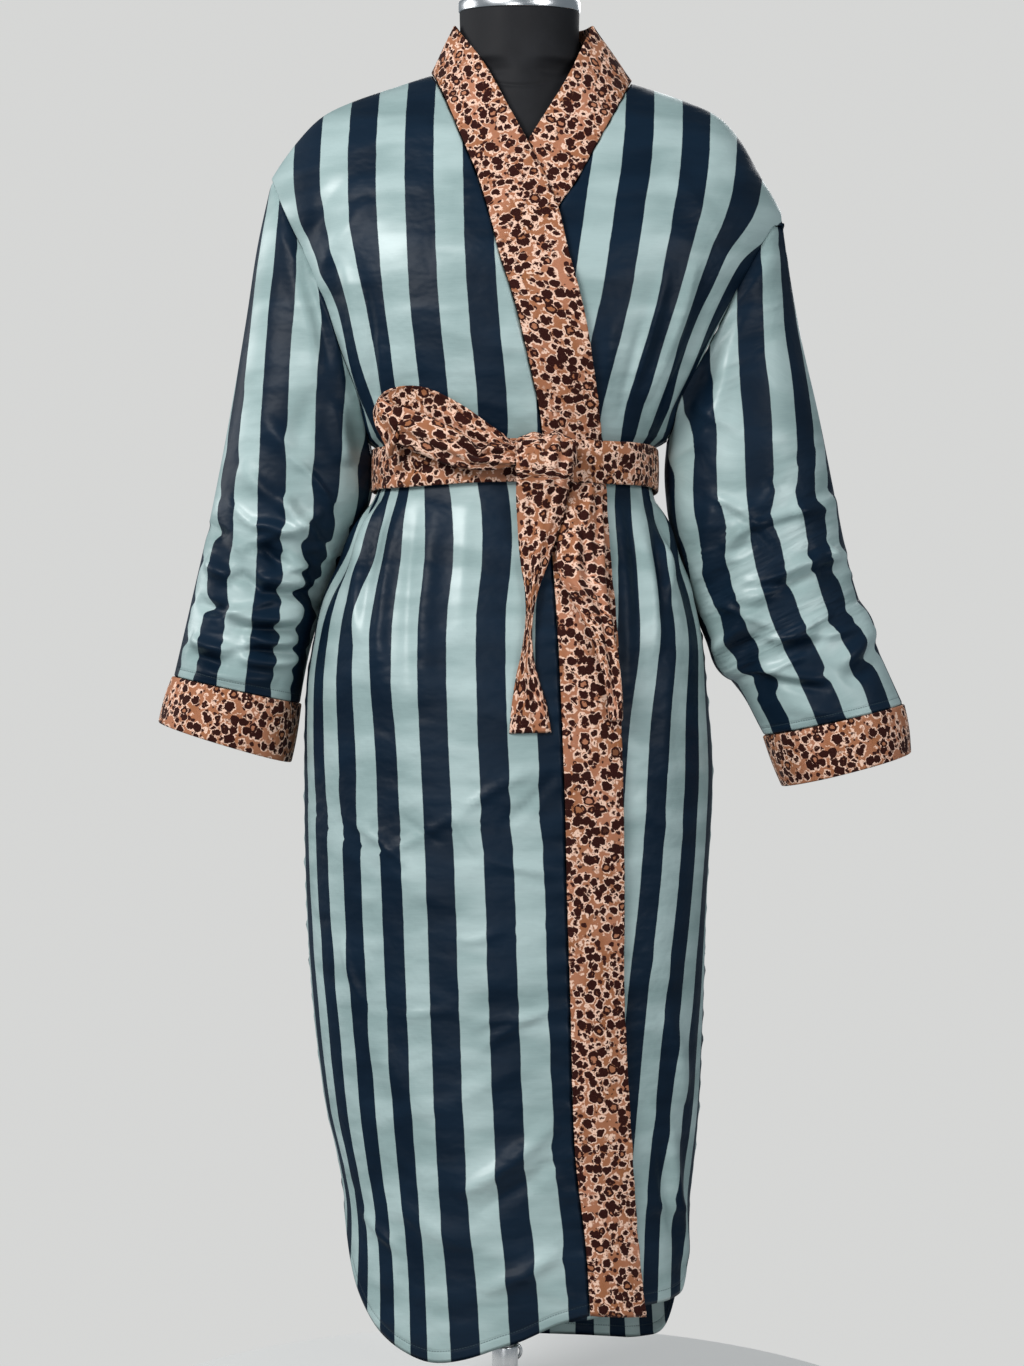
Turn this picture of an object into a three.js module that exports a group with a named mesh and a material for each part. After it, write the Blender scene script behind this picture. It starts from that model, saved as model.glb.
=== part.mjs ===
// A long kimono robe of striped satin with a contrast neckband, cuffs and a tied belt.
// It hangs on a limbless dress form on a pole with a round base plate.
// Millimetres, +Z up, the robe's front faces -Y, and the wearer's right is at -X.
// The origin is on the floor, on the axis of the pole.
import * as THREE from 'three';

// Driving dimensions
const satinThickness = 1.5;
const plushThickness = 3;
const seamGap = 0.3;
const overlapLift = 5;
const underarmHeight = 957;
const waistHeight = 928;
const coreTop = 1150;
const beltWidth = 40;
const roundness = 2.3;
const frontCrown = 2;
const backCrown = 3;

// Gathers by the belt: their depth, their number round half the body, how far above and
// below the waist they start, are deepest, begin to fade and end, and the turns where they set in
const gatherDepth = 3.5;
const gatherWaves = 9;
const gatherSpan = { start: 24, full: 59, fading: 69, end: 174 };
const gatherTurn = { start: 0.75, full: 1.2 };

// Where the overlapping layer comes down to the body: turns to its side, shares of the rise to its shoulder
const liftTurn = { full: 0.6, none: 1.4 };
const liftRise = { full: 0.78, none: 0.98 };

const neckRadius = 57.5;
const neckTop = 1358;
const capHeight = 24;
const poleRadius = 12.5;
const innerPoleRadius = 9.5;
const tubeTop = 91;
const rimTilt = 0.13;
const baseRadius = 160;
const baseThickness = 8;
const hubHeight = 14;
const hubRadius = 24;

// Half-widths to each side and depths to front and back of the robe's body, by height
const bodyRings = [
  { z: 60, centre: 4, right: 160, left: 172, front: 112, back: 112 },
  { z: 150, centre: 4, right: 162, left: 172, front: 116, back: 112 },
  { z: 230, centre: 4, right: 158, left: 173, front: 118, back: 113 },
  { z: 277, centre: 4, right: 165, left: 178, front: 120, back: 114 },
  { z: 325, centre: 4, right: 176, left: 182, front: 121, back: 115 },
  { z: 421, centre: 4, right: 188, left: 186, front: 123, back: 117 },
  { z: 517, centre: 4, right: 194, left: 189, front: 125, back: 119 },
  { z: 640, centre: 4, right: 196, left: 195, front: 127, back: 124 },
  { z: 723, centre: 4, right: 194, left: 189, front: 127, back: 126 },
  { z: 767, centre: 5, right: 188, left: 184, front: 124, back: 123 },
  { z: 804, centre: 6, right: 180, left: 174, front: 119, back: 117 },
  { z: 837, centre: 7, right: 165, left: 162, front: 112, back: 108 },
  { z: 865, centre: 8, right: 155, left: 148, front: 106, back: 101 },
  { z: 907, centre: 9, right: 131.5, left: 132.5, front: 99, back: 94 },
  { z: 928, centre: 9, right: 132, left: 133, front: 99, back: 94 },
  { z: 949, centre: 9, right: 132, left: 132.8, front: 99, back: 94 },
  { z: 957, centre: 9, right: 141, left: 146, front: 102, back: 96 },
  { z: 993, centre: 10, right: 158, left: 166, front: 112, back: 102 },
  { z: 1033, centre: 11, right: 176, left: 187, front: 122, back: 108 },
  { z: 1080, centre: 12, right: 195, left: 213, front: 129, back: 112 },
  { z: 1128, centre: 14, right: 216, left: 236, front: 130, back: 113 },
  { z: 1175, centre: 14, right: 240, left: 262, front: 126, back: 111 },
  { z: 1210, centre: 14, right: 252, left: 268, front: 120, back: 108 },
  { z: 1330, centre: 14, right: 256, left: 270, front: 112, back: 104 },
];

// Height of the shoulder seam by distance from the neck's centre
const neckCentre = 14;
const rightShoulder = [
  { out: 0, z: 1318 },
  { out: 60, z: 1313 },
  { out: 84, z: 1307 },
  { out: 115, z: 1297 },
  { out: 162, z: 1281 },
  { out: 191, z: 1266 },
  { out: 215, z: 1241 },
  { out: 238, z: 1208 },
  { out: 270, z: 1150 },
];
const leftShoulder = [
  { out: 0, z: 1318 },
  { out: 60, z: 1313 },
  { out: 84, z: 1307 },
  { out: 115, z: 1297 },
  { out: 162, z: 1281 },
  { out: 191, z: 1267 },
  { out: 212, z: 1244 },
  { out: 229, z: 1214 },
  { out: 251, z: 1176 },
  { out: 280, z: 1110 },
];

// The armhole seams in the front view
const rightArmhole = [
  { z: 957, x: -131.5 },
  { z: 977, x: -136 },
  { z: 1027, x: -151 },
  { z: 1083, x: -168 },
  { z: 1126, x: -187 },
  { z: 1170, x: -208 },
  { z: 1208, x: -224 },
];
const leftArmhole = [
  { z: 957, x: 155 },
  { z: 993, x: 169 },
  { z: 1033, x: 190 },
  { z: 1087, x: 215 },
  { z: 1128, x: 237 },
  { z: 1176, x: 265 },
];

// Stations of the overlapping front's band, from the hem up to the side of the neck:
// a point on its seam and the point across it on its free edge, in the front view.
// Where stand is 1 the edge has left the body and stands beside the neck at depth edgeY.
const overBand = [
  { seamZ: 146, seamX: 77, edgeX: 128, edgeZ: 140, edgeY: -110, stand: 0 },
  { seamZ: 209, seamX: 73, edgeX: 121, edgeZ: 207, edgeY: -110, stand: 0 },
  { seamZ: 300, seamX: 63, edgeX: 115, edgeZ: 300, edgeY: -110, stand: 0 },
  { seamZ: 437, seamX: 59, edgeX: 108, edgeZ: 437, edgeY: -110, stand: 0 },
  { seamZ: 528, seamX: 56, edgeX: 108, edgeZ: 528, edgeY: -110, stand: 0 },
  { seamZ: 619, seamX: 54, edgeX: 107, edgeZ: 619, edgeY: -110, stand: 0 },
  { seamZ: 764, seamX: 48, edgeX: 102, edgeZ: 764, edgeY: -110, stand: 0 },
  { seamZ: 837, seamX: 43, edgeX: 96, edgeZ: 837, edgeY: -105, stand: 0 },
  { seamZ: 966, seamX: 33, edgeX: 87, edgeZ: 966, edgeY: -100, stand: 0 },
  { seamZ: 1037, seamX: 18, edgeX: 78, edgeZ: 1032, edgeY: -115, stand: 0 },
  { seamZ: 1073, seamX: 9, edgeX: 71, edgeZ: 1070, edgeY: -118, stand: 0 },
  { seamZ: 1111, seamX: -3, edgeX: 58, edgeZ: 1120, edgeY: -118, stand: 0 },
  { seamZ: 1150, seamX: -13, edgeX: 48, edgeZ: 1163, edgeY: -110, stand: 0 },
  { seamZ: 1191, seamX: -25, edgeX: 28, edgeZ: 1211, edgeY: -96, stand: 0 },
  { seamZ: 1233, seamX: -41, edgeX: 6, edgeZ: 1258, edgeY: -76, stand: 0.6 },
  { seamZ: 1278, seamX: -58, edgeX: -19, edgeZ: 1306, edgeY: -57, stand: 1 },
  { seamZ: 1307, seamX: -70, edgeX: -48, edgeZ: 1352, edgeY: -16, stand: 1 },
];

// Stations of the band on the front that lies under
const underBand = [
  { seamZ: 138, seamX: -38, edgeX: -93, edgeZ: 138, edgeY: -110, stand: 0 },
  { seamZ: 300, seamX: -38, edgeX: -91, edgeZ: 300, edgeY: -110, stand: 0 },
  { seamZ: 528, seamX: -36, edgeX: -90, edgeZ: 528, edgeY: -110, stand: 0 },
  { seamZ: 764, seamX: -28, edgeX: -82, edgeZ: 764, edgeY: -110, stand: 0 },
  { seamZ: 966, seamX: -8, edgeX: -63, edgeZ: 966, edgeY: -100, stand: 0 },
  { seamZ: 1073, seamX: 15, edgeX: -42, edgeZ: 1080, edgeY: -118, stand: 0 },
  { seamZ: 1111, seamX: 28, edgeX: -26, edgeZ: 1130, edgeY: -112, stand: 0 },
  { seamZ: 1163, seamX: 50, edgeX: 1, edgeZ: 1192, edgeY: -104, stand: 0 },
  { seamZ: 1188, seamX: 66, edgeX: 15, edgeZ: 1218, edgeY: -90, stand: 0 },
  { seamZ: 1225, seamX: 85, edgeX: 35, edgeZ: 1252, edgeY: -76, stand: 0.7 },
  { seamZ: 1262, seamX: 104, edgeX: 60, edgeZ: 1296, edgeY: -56, stand: 1 },
  { seamZ: 1300, seamX: 122, edgeX: 84, edgeZ: 1354, edgeY: -10, stand: 1 },
];

// The standing edge of the band round the back of the neck, by the seam's place across it
const standingEdge = [
  { seamX: -70, x: -48, y: -16, z: 1352 },
  { seamX: -38, x: -46, y: 34, z: 1357 },
  { seamX: -6, x: -15, y: 58, z: 1361 },
  { seamX: 26, x: 20, y: 64, z: 1363 },
  { seamX: 58, x: 52, y: 55, z: 1362 },
  { seamX: 90, x: 76, y: 28, z: 1359 },
  { seamX: 122, x: 84, y: -10, z: 1354 },
];

// The hems, by the share of the panel's width from its front edge, or from its right side seam
const overHem = [
  { across: 0, z: 146 },
  { across: 0.1, z: 137 },
  { across: 0.2, z: 120 },
  { across: 0.3, z: 107 },
  { across: 0.4, z: 103 },
  { across: 0.5, z: 112 },
  { across: 0.6, z: 129 },
  { across: 0.7, z: 156 },
  { across: 0.8, z: 186 },
  { across: 0.9, z: 213 },
  { across: 1, z: 228 },
];
const underHem = [
  { across: 0, z: 138 },
  { across: 0.3, z: 140 },
  { across: 0.5, z: 148 },
  { across: 0.75, z: 150 },
  { across: 0.85, z: 158 },
  { across: 0.93, z: 190 },
  { across: 1, z: 232 },
];
const backHem = [
  { across: 0, z: 228 },
  { across: 0.1, z: 186 },
  { across: 0.2, z: 128 },
  { across: 0.33, z: 80 },
  { across: 0.5, z: 71 },
  { across: 0.67, z: 73 },
  { across: 0.78, z: 84 },
  { across: 0.88, z: 140 },
  { across: 0.95, z: 196 },
  { across: 1, z: 232 },
];

// Sleeve sections: the points where each cuts the outer and inner side, and its half-depth
const rightSleeve = [
  { outerX: -224, outerZ: 1208, innerX: -132, innerZ: 957, depth: 60, hold: 1 },
  { outerX: -238, outerZ: 1142, innerX: -135, innerZ: 926, depth: 63, hold: 0.55 },
  { outerX: -249, outerZ: 1068, innerX: -141, innerZ: 888, depth: 65, hold: 0.2 },
  { outerX: -264, outerZ: 978, innerX: -157, innerZ: 846, depth: 65, hold: 0 },
  { outerX: -283, outerZ: 880, innerX: -177, innerZ: 806, depth: 63, hold: 0 },
  { outerX: -300, outerZ: 805, innerX: -187, innerZ: 767, depth: 62, hold: 0 },
  { outerX: -309, outerZ: 766, innerX: -192, innerZ: 735, depth: 61, hold: 0 },
  { outerX: -317, outerZ: 732, innerX: -197, innerZ: 706, depth: 61, hold: 0 },
];
const leftSleeve = [
  { outerX: 265, outerZ: 1176, innerX: 156, innerZ: 957, depth: 60, hold: 1 },
  { outerX: 273, outerZ: 1118, innerX: 158, innerZ: 925, depth: 64, hold: 0.55 },
  { outerX: 284, outerZ: 1055, innerX: 163, innerZ: 886, depth: 67, hold: 0.2 },
  { outerX: 301, outerZ: 980, innerX: 177, innerZ: 840, depth: 68, hold: 0 },
  { outerX: 317, outerZ: 900, innerX: 188, innerZ: 798, depth: 68, hold: 0 },
  { outerX: 333, outerZ: 825, innerX: 204, innerZ: 752, depth: 68, hold: 0 },
  { outerX: 354, outerZ: 766, innerX: 227, innerZ: 712, depth: 67, hold: 0 },
  { outerX: 381, outerZ: 705, innerX: 249, innerZ: 675, depth: 67, hold: 0 },
];
const rightCuffEnd = { outerX: -333, outerZ: 688, innerX: -206, innerZ: 649, depth: 64 };
const leftCuffEnd = { outerX: 390, outerZ: 659, innerX: 267, innerZ: 626, depth: 69 };

// Rows of the panels: heights at the lowest point of a hem, then shares of the rise to the shoulder
const lowerRows = [100, 128, 165, 215, 280, 360, 450, 540, 620, 690, 745, 790, 828, 860, 886, 907, 928, 949];
const upperRows = [0, 0.11, 0.23, 0.35, 0.47, 0.58, 0.68, 0.77, 0.85, 0.915, 0.965, 1];
const lowestHem = 100;
const neckRight = -70;
const neckLeft = 122;
const neckDip = 0.922;
const frontColumns = 18;
const neckColumns = 6;
const sideColumns = 11;

// Colours and finishes
const satin = new THREE.MeshStandardMaterial({ color: 0x8fa9a4, roughness: 0.38, metalness: 0 });
const plush = new THREE.MeshStandardMaterial({ color: 0x9c6b55, roughness: 0.85, metalness: 0 });
const formCloth = new THREE.MeshStandardMaterial({ color: 0x1b1b1f, roughness: 0.8, metalness: 0 });
const chrome = new THREE.MeshStandardMaterial({ color: 0xc8ccd0, roughness: 0.15, metalness: 1 });
const blackPaint = new THREE.MeshStandardMaterial({ color: 0x151515, roughness: 0.4, metalness: 0.2 });

const robe = new THREE.Group();

function mix(a, b, part) {
  return a + (b - a) * part;
}

function ease(from, to, value) {
  const part = Math.min(1, Math.max(0, (value - from) / (to - from)));
  return part * part * (3 - 2 * part);
}

// Reads a column of a table at any value of its key column, on a smooth curve through the rows
function read(table, key, column, value) {
  const last = table.length - 1;
  let i = 0;
  while (i < last - 1 && table[i + 1][key] < value) i += 1;
  const slope = (k) => {
    const a = Math.max(0, k - 1);
    const b = Math.min(last, k + 1);
    return (table[b][column] - table[a][column]) / (table[b][key] - table[a][key]);
  };
  const span = table[i + 1][key] - table[i][key];
  const t = Math.min(1, Math.max(0, (value - table[i][key]) / span));
  const start = table[i][column];
  const end = table[i + 1][column];
  const bend = t * (1 - t) * ((1 - t) * (slope(i) * span - end + start) - t * (slope(i + 1) * span - end + start));
  return mix(start, end, t) + bend;
}

function shoulderHeight(x) {
  const side = x < neckCentre ? rightShoulder : leftShoulder;
  return read(side, 'out', 'z', Math.abs(x - neckCentre));
}

function halfWidth(x, z) {
  return read(bodyRings, 'z', x < read(bodyRings, 'z', 'centre', z) ? 'right' : 'left', z);
}

// Turn about the body's axis at which its outline stands at x: 0 in the middle, a quarter turn at a side
function turnAt(x, z) {
  const out = x - read(bodyRings, 'z', 'centre', z);
  const ratio = Math.min(1, Math.abs(out) / halfWidth(x, z));
  return Math.sign(out) * Math.asin(ratio ** (roundness / 2));
}

function xAtTurn(turn, z) {
  const side = turn < 0 ? 'right' : 'left';
  const reach = read(bodyRings, 'z', side, z) * Math.abs(Math.sin(turn)) ** (2 / roundness);
  return read(bodyRings, 'z', 'centre', z) + Math.sign(turn) * reach;
}

// Depth of the body's front or back at a point of the front view
// It is a superellipse round the body, and over the shoulders a crown that closes on the seam
function bodyDepth(face, x, z) {
  const out = Math.abs(x - read(bodyRings, 'z', 'centre', z));
  const ratio = Math.min(1, out / halfWidth(x, z));
  const round = (1 - ratio ** roundness) ** (1 / roundness);
  const rise = Math.min(1, Math.max(0, (z - underarmHeight) / (shoulderHeight(x) - underarmHeight)));
  const crown = face === 'front' ? frontCrown : backCrown;
  return read(bodyRings, 'z', face, z) * round * (1 - rise ** crown) ** (1 / crown);
}

// Gathers above and below the belt, strongest round the sides and the back
function gather(face, turn, z) {
  const away = Math.abs(z - waistHeight);
  const height = ease(gatherSpan.start, gatherSpan.full, away) * (1 - ease(gatherSpan.fading, gatherSpan.end, away));
  const round = face === 'front' ? Math.abs(turn) : Math.PI - Math.abs(turn);
  const place = ease(gatherTurn.start, gatherTurn.full, round);
  return gatherDepth * height * place * Math.cos(2 * gatherWaves * round);
}

// A point of the body's surface by its turn and its row, and the unit vector out of it
// A row is given as a height below the underarm and as a share of the rise above it
function bodyPoint(face, panel, across, row) {
  let z = row.rise > 0 ? 1150 : 500;
  let x = 0;
  for (let pass = 0; pass < 12; pass += 1) {
    x = xAtTurn(panel.turn(across, z, row), z);
    if (row.rise > 0) {
      z = underarmHeight + row.rise * panel.top(x) * (shoulderHeight(x) - underarmHeight);
    } else {
      z = mix(panel.hem(across), underarmHeight, row.height);
    }
  }
  const depth = bodyDepth(face, x, z);
  return new THREE.Vector3(x, face === 'front' ? -depth : depth, z);
}

// Points and outward directions of a panel, worked out from close neighbours on the same surface
function bodySpot(face, panel, across, row) {
  const small = 0.002;
  const nudge = (a, r) => bodyPoint(face, panel, Math.min(1, Math.max(0, a)), r);
  const shift = (amount) => {
    if (row.rise > 0) return { rise: Math.min(1, Math.max(0.0001, row.rise + amount)) };
    return { rise: 0, height: Math.min(1, Math.max(0, row.height + amount)) };
  };
  const point = bodyPoint(face, panel, across, row);
  const along = nudge(across + small, row).sub(nudge(across - small, row));
  const up = nudge(across, shift(small)).sub(nudge(across, shift(-small)));
  const normal = along.cross(up).normalize();
  const core = new THREE.Vector3(read(bodyRings, 'z', 'centre', point.z), 0, Math.min(point.z, coreTop));
  if (normal.dot(point.clone().sub(core)) < 0) normal.negate();
  const turn = turnAt(point.x, point.z);
  point.addScaledVector(normal, gather(face, turn, point.z) + panel.lift(point.x, point.z));
  point.y += face === 'front' ? -seamGap / 2 : seamGap / 2;
  return { point, normal };
}

// How far the overlapping layer is moved out: wholly in front, not at the side or the shoulder
function overLift(x, z) {
  const turn = turnAt(x, z);
  const side = x < read(bodyRings, 'z', 'centre', z) ? 1 - ease(liftTurn.full, liftTurn.none, Math.abs(turn)) : 1;
  const rise = (z - underarmHeight) / (shoulderHeight(x) - underarmHeight);
  return overlapLift * side * (1 - ease(liftRise.full, liftRise.none, rise));
}

function add(name, material, positions, indices) {
  const geometry = new THREE.BufferGeometry();
  geometry.setAttribute('position', new THREE.Float32BufferAttribute(positions, 3));
  geometry.setIndex(indices);
  geometry.computeVertexNormals();
  const mesh = new THREE.Mesh(geometry, material);
  mesh.name = name;
  robe.add(mesh);
}

// Closes a wall between two grids of points into one solid
// A round wall's columns go all the way about, and an open one has a face along each side
function addWall(name, material, outer, inner, round) {
  const rows = outer.length;
  const columns = outer[0].length;
  const positions = [];
  for (const grid of [outer, inner]) for (const line of grid) for (const p of line) positions.push(p.x, p.y, p.z);
  const at = (layer, r, c) => layer * rows * columns + r * columns + (c % columns);
  const indices = [];
  const quad = (a, b, c, d) => indices.push(a, b, c, a, c, d);
  const spans = round ? columns : columns - 1;
  for (let r = 0; r < rows - 1; r += 1) {
    for (let c = 0; c < spans; c += 1) {
      quad(at(0, r, c), at(0, r, c + 1), at(0, r + 1, c + 1), at(0, r + 1, c));
      quad(at(1, r, c), at(1, r + 1, c), at(1, r + 1, c + 1), at(1, r, c + 1));
    }
    if (!round) {
      quad(at(1, r, 0), at(0, r, 0), at(0, r + 1, 0), at(1, r + 1, 0));
      quad(at(0, r, columns - 1), at(1, r, columns - 1), at(1, r + 1, columns - 1), at(0, r + 1, columns - 1));
    }
  }
  for (let c = 0; c < spans; c += 1) {
    quad(at(0, 0, c + 1), at(0, 0, c), at(1, 0, c), at(1, 0, c + 1));
    quad(at(0, rows - 1, c), at(0, rows - 1, c + 1), at(1, rows - 1, c + 1), at(1, rows - 1, c));
  }
  add(name, material, positions, facingOut(positions, indices));
}

// Turns the faces round where the volume they enclose comes out negative
function facingOut(positions, indices) {
  const corner = (i) => new THREE.Vector3().fromArray(positions, indices[i] * 3);
  let volume = 0;
  for (let i = 0; i < indices.length; i += 3) volume += corner(i).dot(corner(i + 1).cross(corner(i + 2)));
  return volume < 0 ? indices.reverse() : indices;
}

const rows = [
  ...lowerRows.map((z) => ({ rise: 0, height: (z - lowestHem) / (underarmHeight - lowestHem) })),
  ...upperRows.map((rise) => ({ rise, height: 1 })),
];

function shares(count) {
  return Array.from({ length: count + 1 }, (_, i) => i / count);
}

function panelGrid(face, panel, columns) {
  const spots = rows.map((row) => columns.map((across) => bodySpot(face, panel, across, row)));
  const outer = spots.map((line) => line.map((s) => s.point));
  const inner = spots.map((line) => line.map((s) => s.point.clone().addScaledVector(s.normal, -satinThickness)));
  return { spots, outer, inner };
}

// Fronts and back
const rightSide = -Math.PI / 2;
const leftSide = Math.PI / 2;
const rightEnd = (z, row) => (row.rise > 0 ? turnAt(read(rightArmhole, 'z', 'x', z), z) : rightSide);
const leftEnd = (z, row) => (row.rise > 0 ? turnAt(read(leftArmhole, 'z', 'x', z), z) : leftSide);
const overSeam = (z) => turnAt(read(overBand, 'seamZ', 'seamX', z), z);
const underSeam = (z) => turnAt(read(underBand, 'seamZ', 'seamX', z), z);

const overPanel = {
  turn: (across, z, row) => mix(overSeam(z), rightEnd(z, row), across),
  hem: (across) => read(overHem, 'across', 'z', across),
  top: () => 1,
  lift: overLift,
};
const underPanel = {
  turn: (across, z, row) => mix(underSeam(z), leftEnd(z, row), across),
  hem: (across) => read(underHem, 'across', 'z', across),
  top: () => 1,
  lift: () => 0,
};

// The back's columns run straight up to the sides of the neck and between them to the dipped neckline
const neckFrom = sideColumns / (2 * sideColumns + neckColumns);
const neckTo = 1 - neckFrom;
const backPanel = {
  turn: (across, z, row) => {
    const right = turnAt(neckRight, z);
    const left = turnAt(neckLeft, z);
    if (across < neckFrom) return mix(rightEnd(z, row), right, across / neckFrom);
    if (across > neckTo) return mix(left, leftEnd(z, row), (across - neckTo) / (1 - neckTo));
    return mix(right, left, (across - neckFrom) / (neckTo - neckFrom));
  },
  hem: (across) => read(backHem, 'across', 'z', across),
  top: (x) => {
    const out = Math.abs(2 * x - neckRight - neckLeft) / (neckLeft - neckRight);
    return mix(neckDip, 1, Math.min(1, out) ** 2);
  },
  lift: () => 0,
};

const over = panelGrid('front', overPanel, shares(frontColumns));
const under = panelGrid('front', underPanel, shares(frontColumns));
const back = panelGrid('back', backPanel, shares(2 * sideColumns + neckColumns));
addWall('front_right', satin, over.outer, over.inner, false);
addWall('front_left', satin, under.outer, under.inner, false);
addWall('back', satin, back.outer, back.inner, false);

// Unit vectors out of a grid of points, from each point's neighbours along both ways of the grid
function gridNormals(grid, core, round) {
  const rowCount = grid.length;
  const columnCount = grid[0].length;
  const column = (c) => (round ? (c + columnCount) % columnCount : Math.min(columnCount - 1, Math.max(0, c)));
  return grid.map((line, r) => line.map((p, c) => {
    const across = line[column(c + 1)].clone().sub(line[column(c - 1)]);
    const along = grid[Math.min(rowCount - 1, r + 1)][c].clone().sub(grid[Math.max(0, r - 1)][c]);
    const normal = across.cross(along).normalize();
    return normal.dot(p.clone().sub(core(p, r))) < 0 ? normal.negate() : normal;
  }));
}

function inward(grid, normals, thickness) {
  return grid.map((line, r) => line.map((p, c) => p.clone().addScaledVector(normals[r][c], -thickness)));
}

// Sleeves start at the armhole's own edge, held off it by the seam gap, and pass into leaning ovals
// At the underarm the tube turns down outside the side seam, so there the gap is sideways
const shoulderRow = rows.length - 1;
const underarmRow = lowerRows.length;
const ringSteps = 2 * upperRows.length;

function armholeRing(front, frontColumn, backColumn, sign) {
  const ring = [];
  const take = (line, column, row) => {
    const spot = line[column];
    const beside = line[column === 0 ? 1 : column - 1];
    const near = 1 - ease(0, 0.25, rows[row].rise);
    const move = spot.point.clone().sub(beside.point).setLength(3 * seamGap * (1 - near));
    move.x += sign * 3 * seamGap * near;
    ring.push(spot.point.clone().add(move));
  };
  for (let row = underarmRow; row <= shoulderRow; row += 1) take(front.spots[row], frontColumn, row);
  for (let row = shoulderRow; row >= underarmRow; row -= 1) take(back.spots[row], backColumn, row);
  return ring;
}

// A leaning oval through a section's inner and outer points, from the underarm round by the front
function ovalRing(section) {
  return Array.from({ length: ringSteps }, (_, i) => {
    const turn = (2 * Math.PI * (i + 0.5)) / ringSteps;
    const out = (1 - Math.cos(turn)) / 2;
    const x = mix(section.innerX, section.outerX, out);
    const z = mix(section.innerZ, section.outerZ, out);
    return new THREE.Vector3(x, -section.depth * Math.sin(turn), z);
  });
}

// The wall's thickness at the armhole stays in the plane of the shoulder and side seams, where front meets back
function sleeveGrid(sections, ring) {
  const start = ovalRing(sections[0]);
  const between = [];
  sections.forEach((section, i) => {
    between.push(section);
    const next = sections[i + 1];
    if (next && i > 0) {
      const half = {};
      for (const key of Object.keys(section)) half[key] = mix(section[key], next[key], 0.5);
      between.push(half);
    }
  });
  const outer = between.map((section) => ovalRing(section).map((p, i) => {
    return p.addScaledVector(ring[i].clone().sub(start[i]), section.hold);
  }));
  const axis = (p, r) => {
    const section = between[r];
    return new THREE.Vector3((section.innerX + section.outerX) / 2, 0, (section.innerZ + section.outerZ) / 2);
  };
  const normals = gridNormals(outer, axis, true);
  for (const i of [0, ringSteps / 2 - 1, ringSteps / 2, ringSteps - 1]) normals[0][i].setY(0).normalize();
  return { outer, inner: inward(outer, normals, satinThickness) };
}

function addSleeve(side, sections, cuffEnd, ring) {
  const sleeve = sleeveGrid(sections, ring);
  addWall('sleeve_' + side, satin, sleeve.outer, sleeve.inner, true);
  addCuff(side, sleeve, cuffEnd);
}

// A cuff carries on from the sleeve's last ring in thicker cloth
function addCuff(side, sleeve, cuffEnd) {
  const last = sleeve.outer.length - 1;
  const end = ovalRing(cuffEnd);
  const outer = [];
  const inner = [];
  const core = (p) => new THREE.Vector3((cuffEnd.innerX + cuffEnd.outerX) / 2, 0, p.z);
  const first = sleeve.outer[last].map((p, i) => {
    const away = end[i].clone().sub(p).setLength(seamGap * 1.3);
    return { away, seam: sleeve.inner[last][i].clone().add(away), out: p.clone().sub(sleeve.inner[last][i]) };
  });
  for (const down of [0, 0.5, 1]) {
    outer.push(first.map((f, i) => {
      const start = f.seam.clone().addScaledVector(f.out.clone().normalize(), plushThickness);
      return start.lerp(end[i], down);
    }));
  }
  const normals = gridNormals(outer, core, true);
  for (let r = 0; r < outer.length; r += 1) {
    inner.push(outer[r].map((p, i) => {
      if (r === 0) return first[i].seam;
      return p.clone().addScaledVector(normals[r][i], -plushThickness);
    }));
  }
  addWall('cuff_' + side, plush, outer, inner, true);
}

addSleeve('right', rightSleeve, rightCuffEnd, armholeRing(over, frontColumns, 0, -1));
addSleeve('left', leftSleeve, leftCuffEnd, armholeRing(under, frontColumns, 2 * sideColumns + neckColumns, 1));

// Neckbands: each lies on its front along the seam, then stands beside the neck and round its back
const bandColumns = [0, 1 / 3, 2 / 3, 1];

// A point on the front of the body with its layers' lift, and the direction out of it
function frontSpot(x, z, lift) {
  const step = 0.5;
  const slopeX = (bodyDepth('front', x + step, z) - bodyDepth('front', x - step, z)) / (2 * step);
  const slopeZ = (bodyDepth('front', x, z + step) - bodyDepth('front', x, z - step)) / (2 * step);
  const normal = new THREE.Vector3(-slopeX, -1, -slopeZ).normalize();
  const point = new THREE.Vector3(x, -bodyDepth('front', x, z) - seamGap / 2, z);
  return point.addScaledVector(normal, lift);
}

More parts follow.
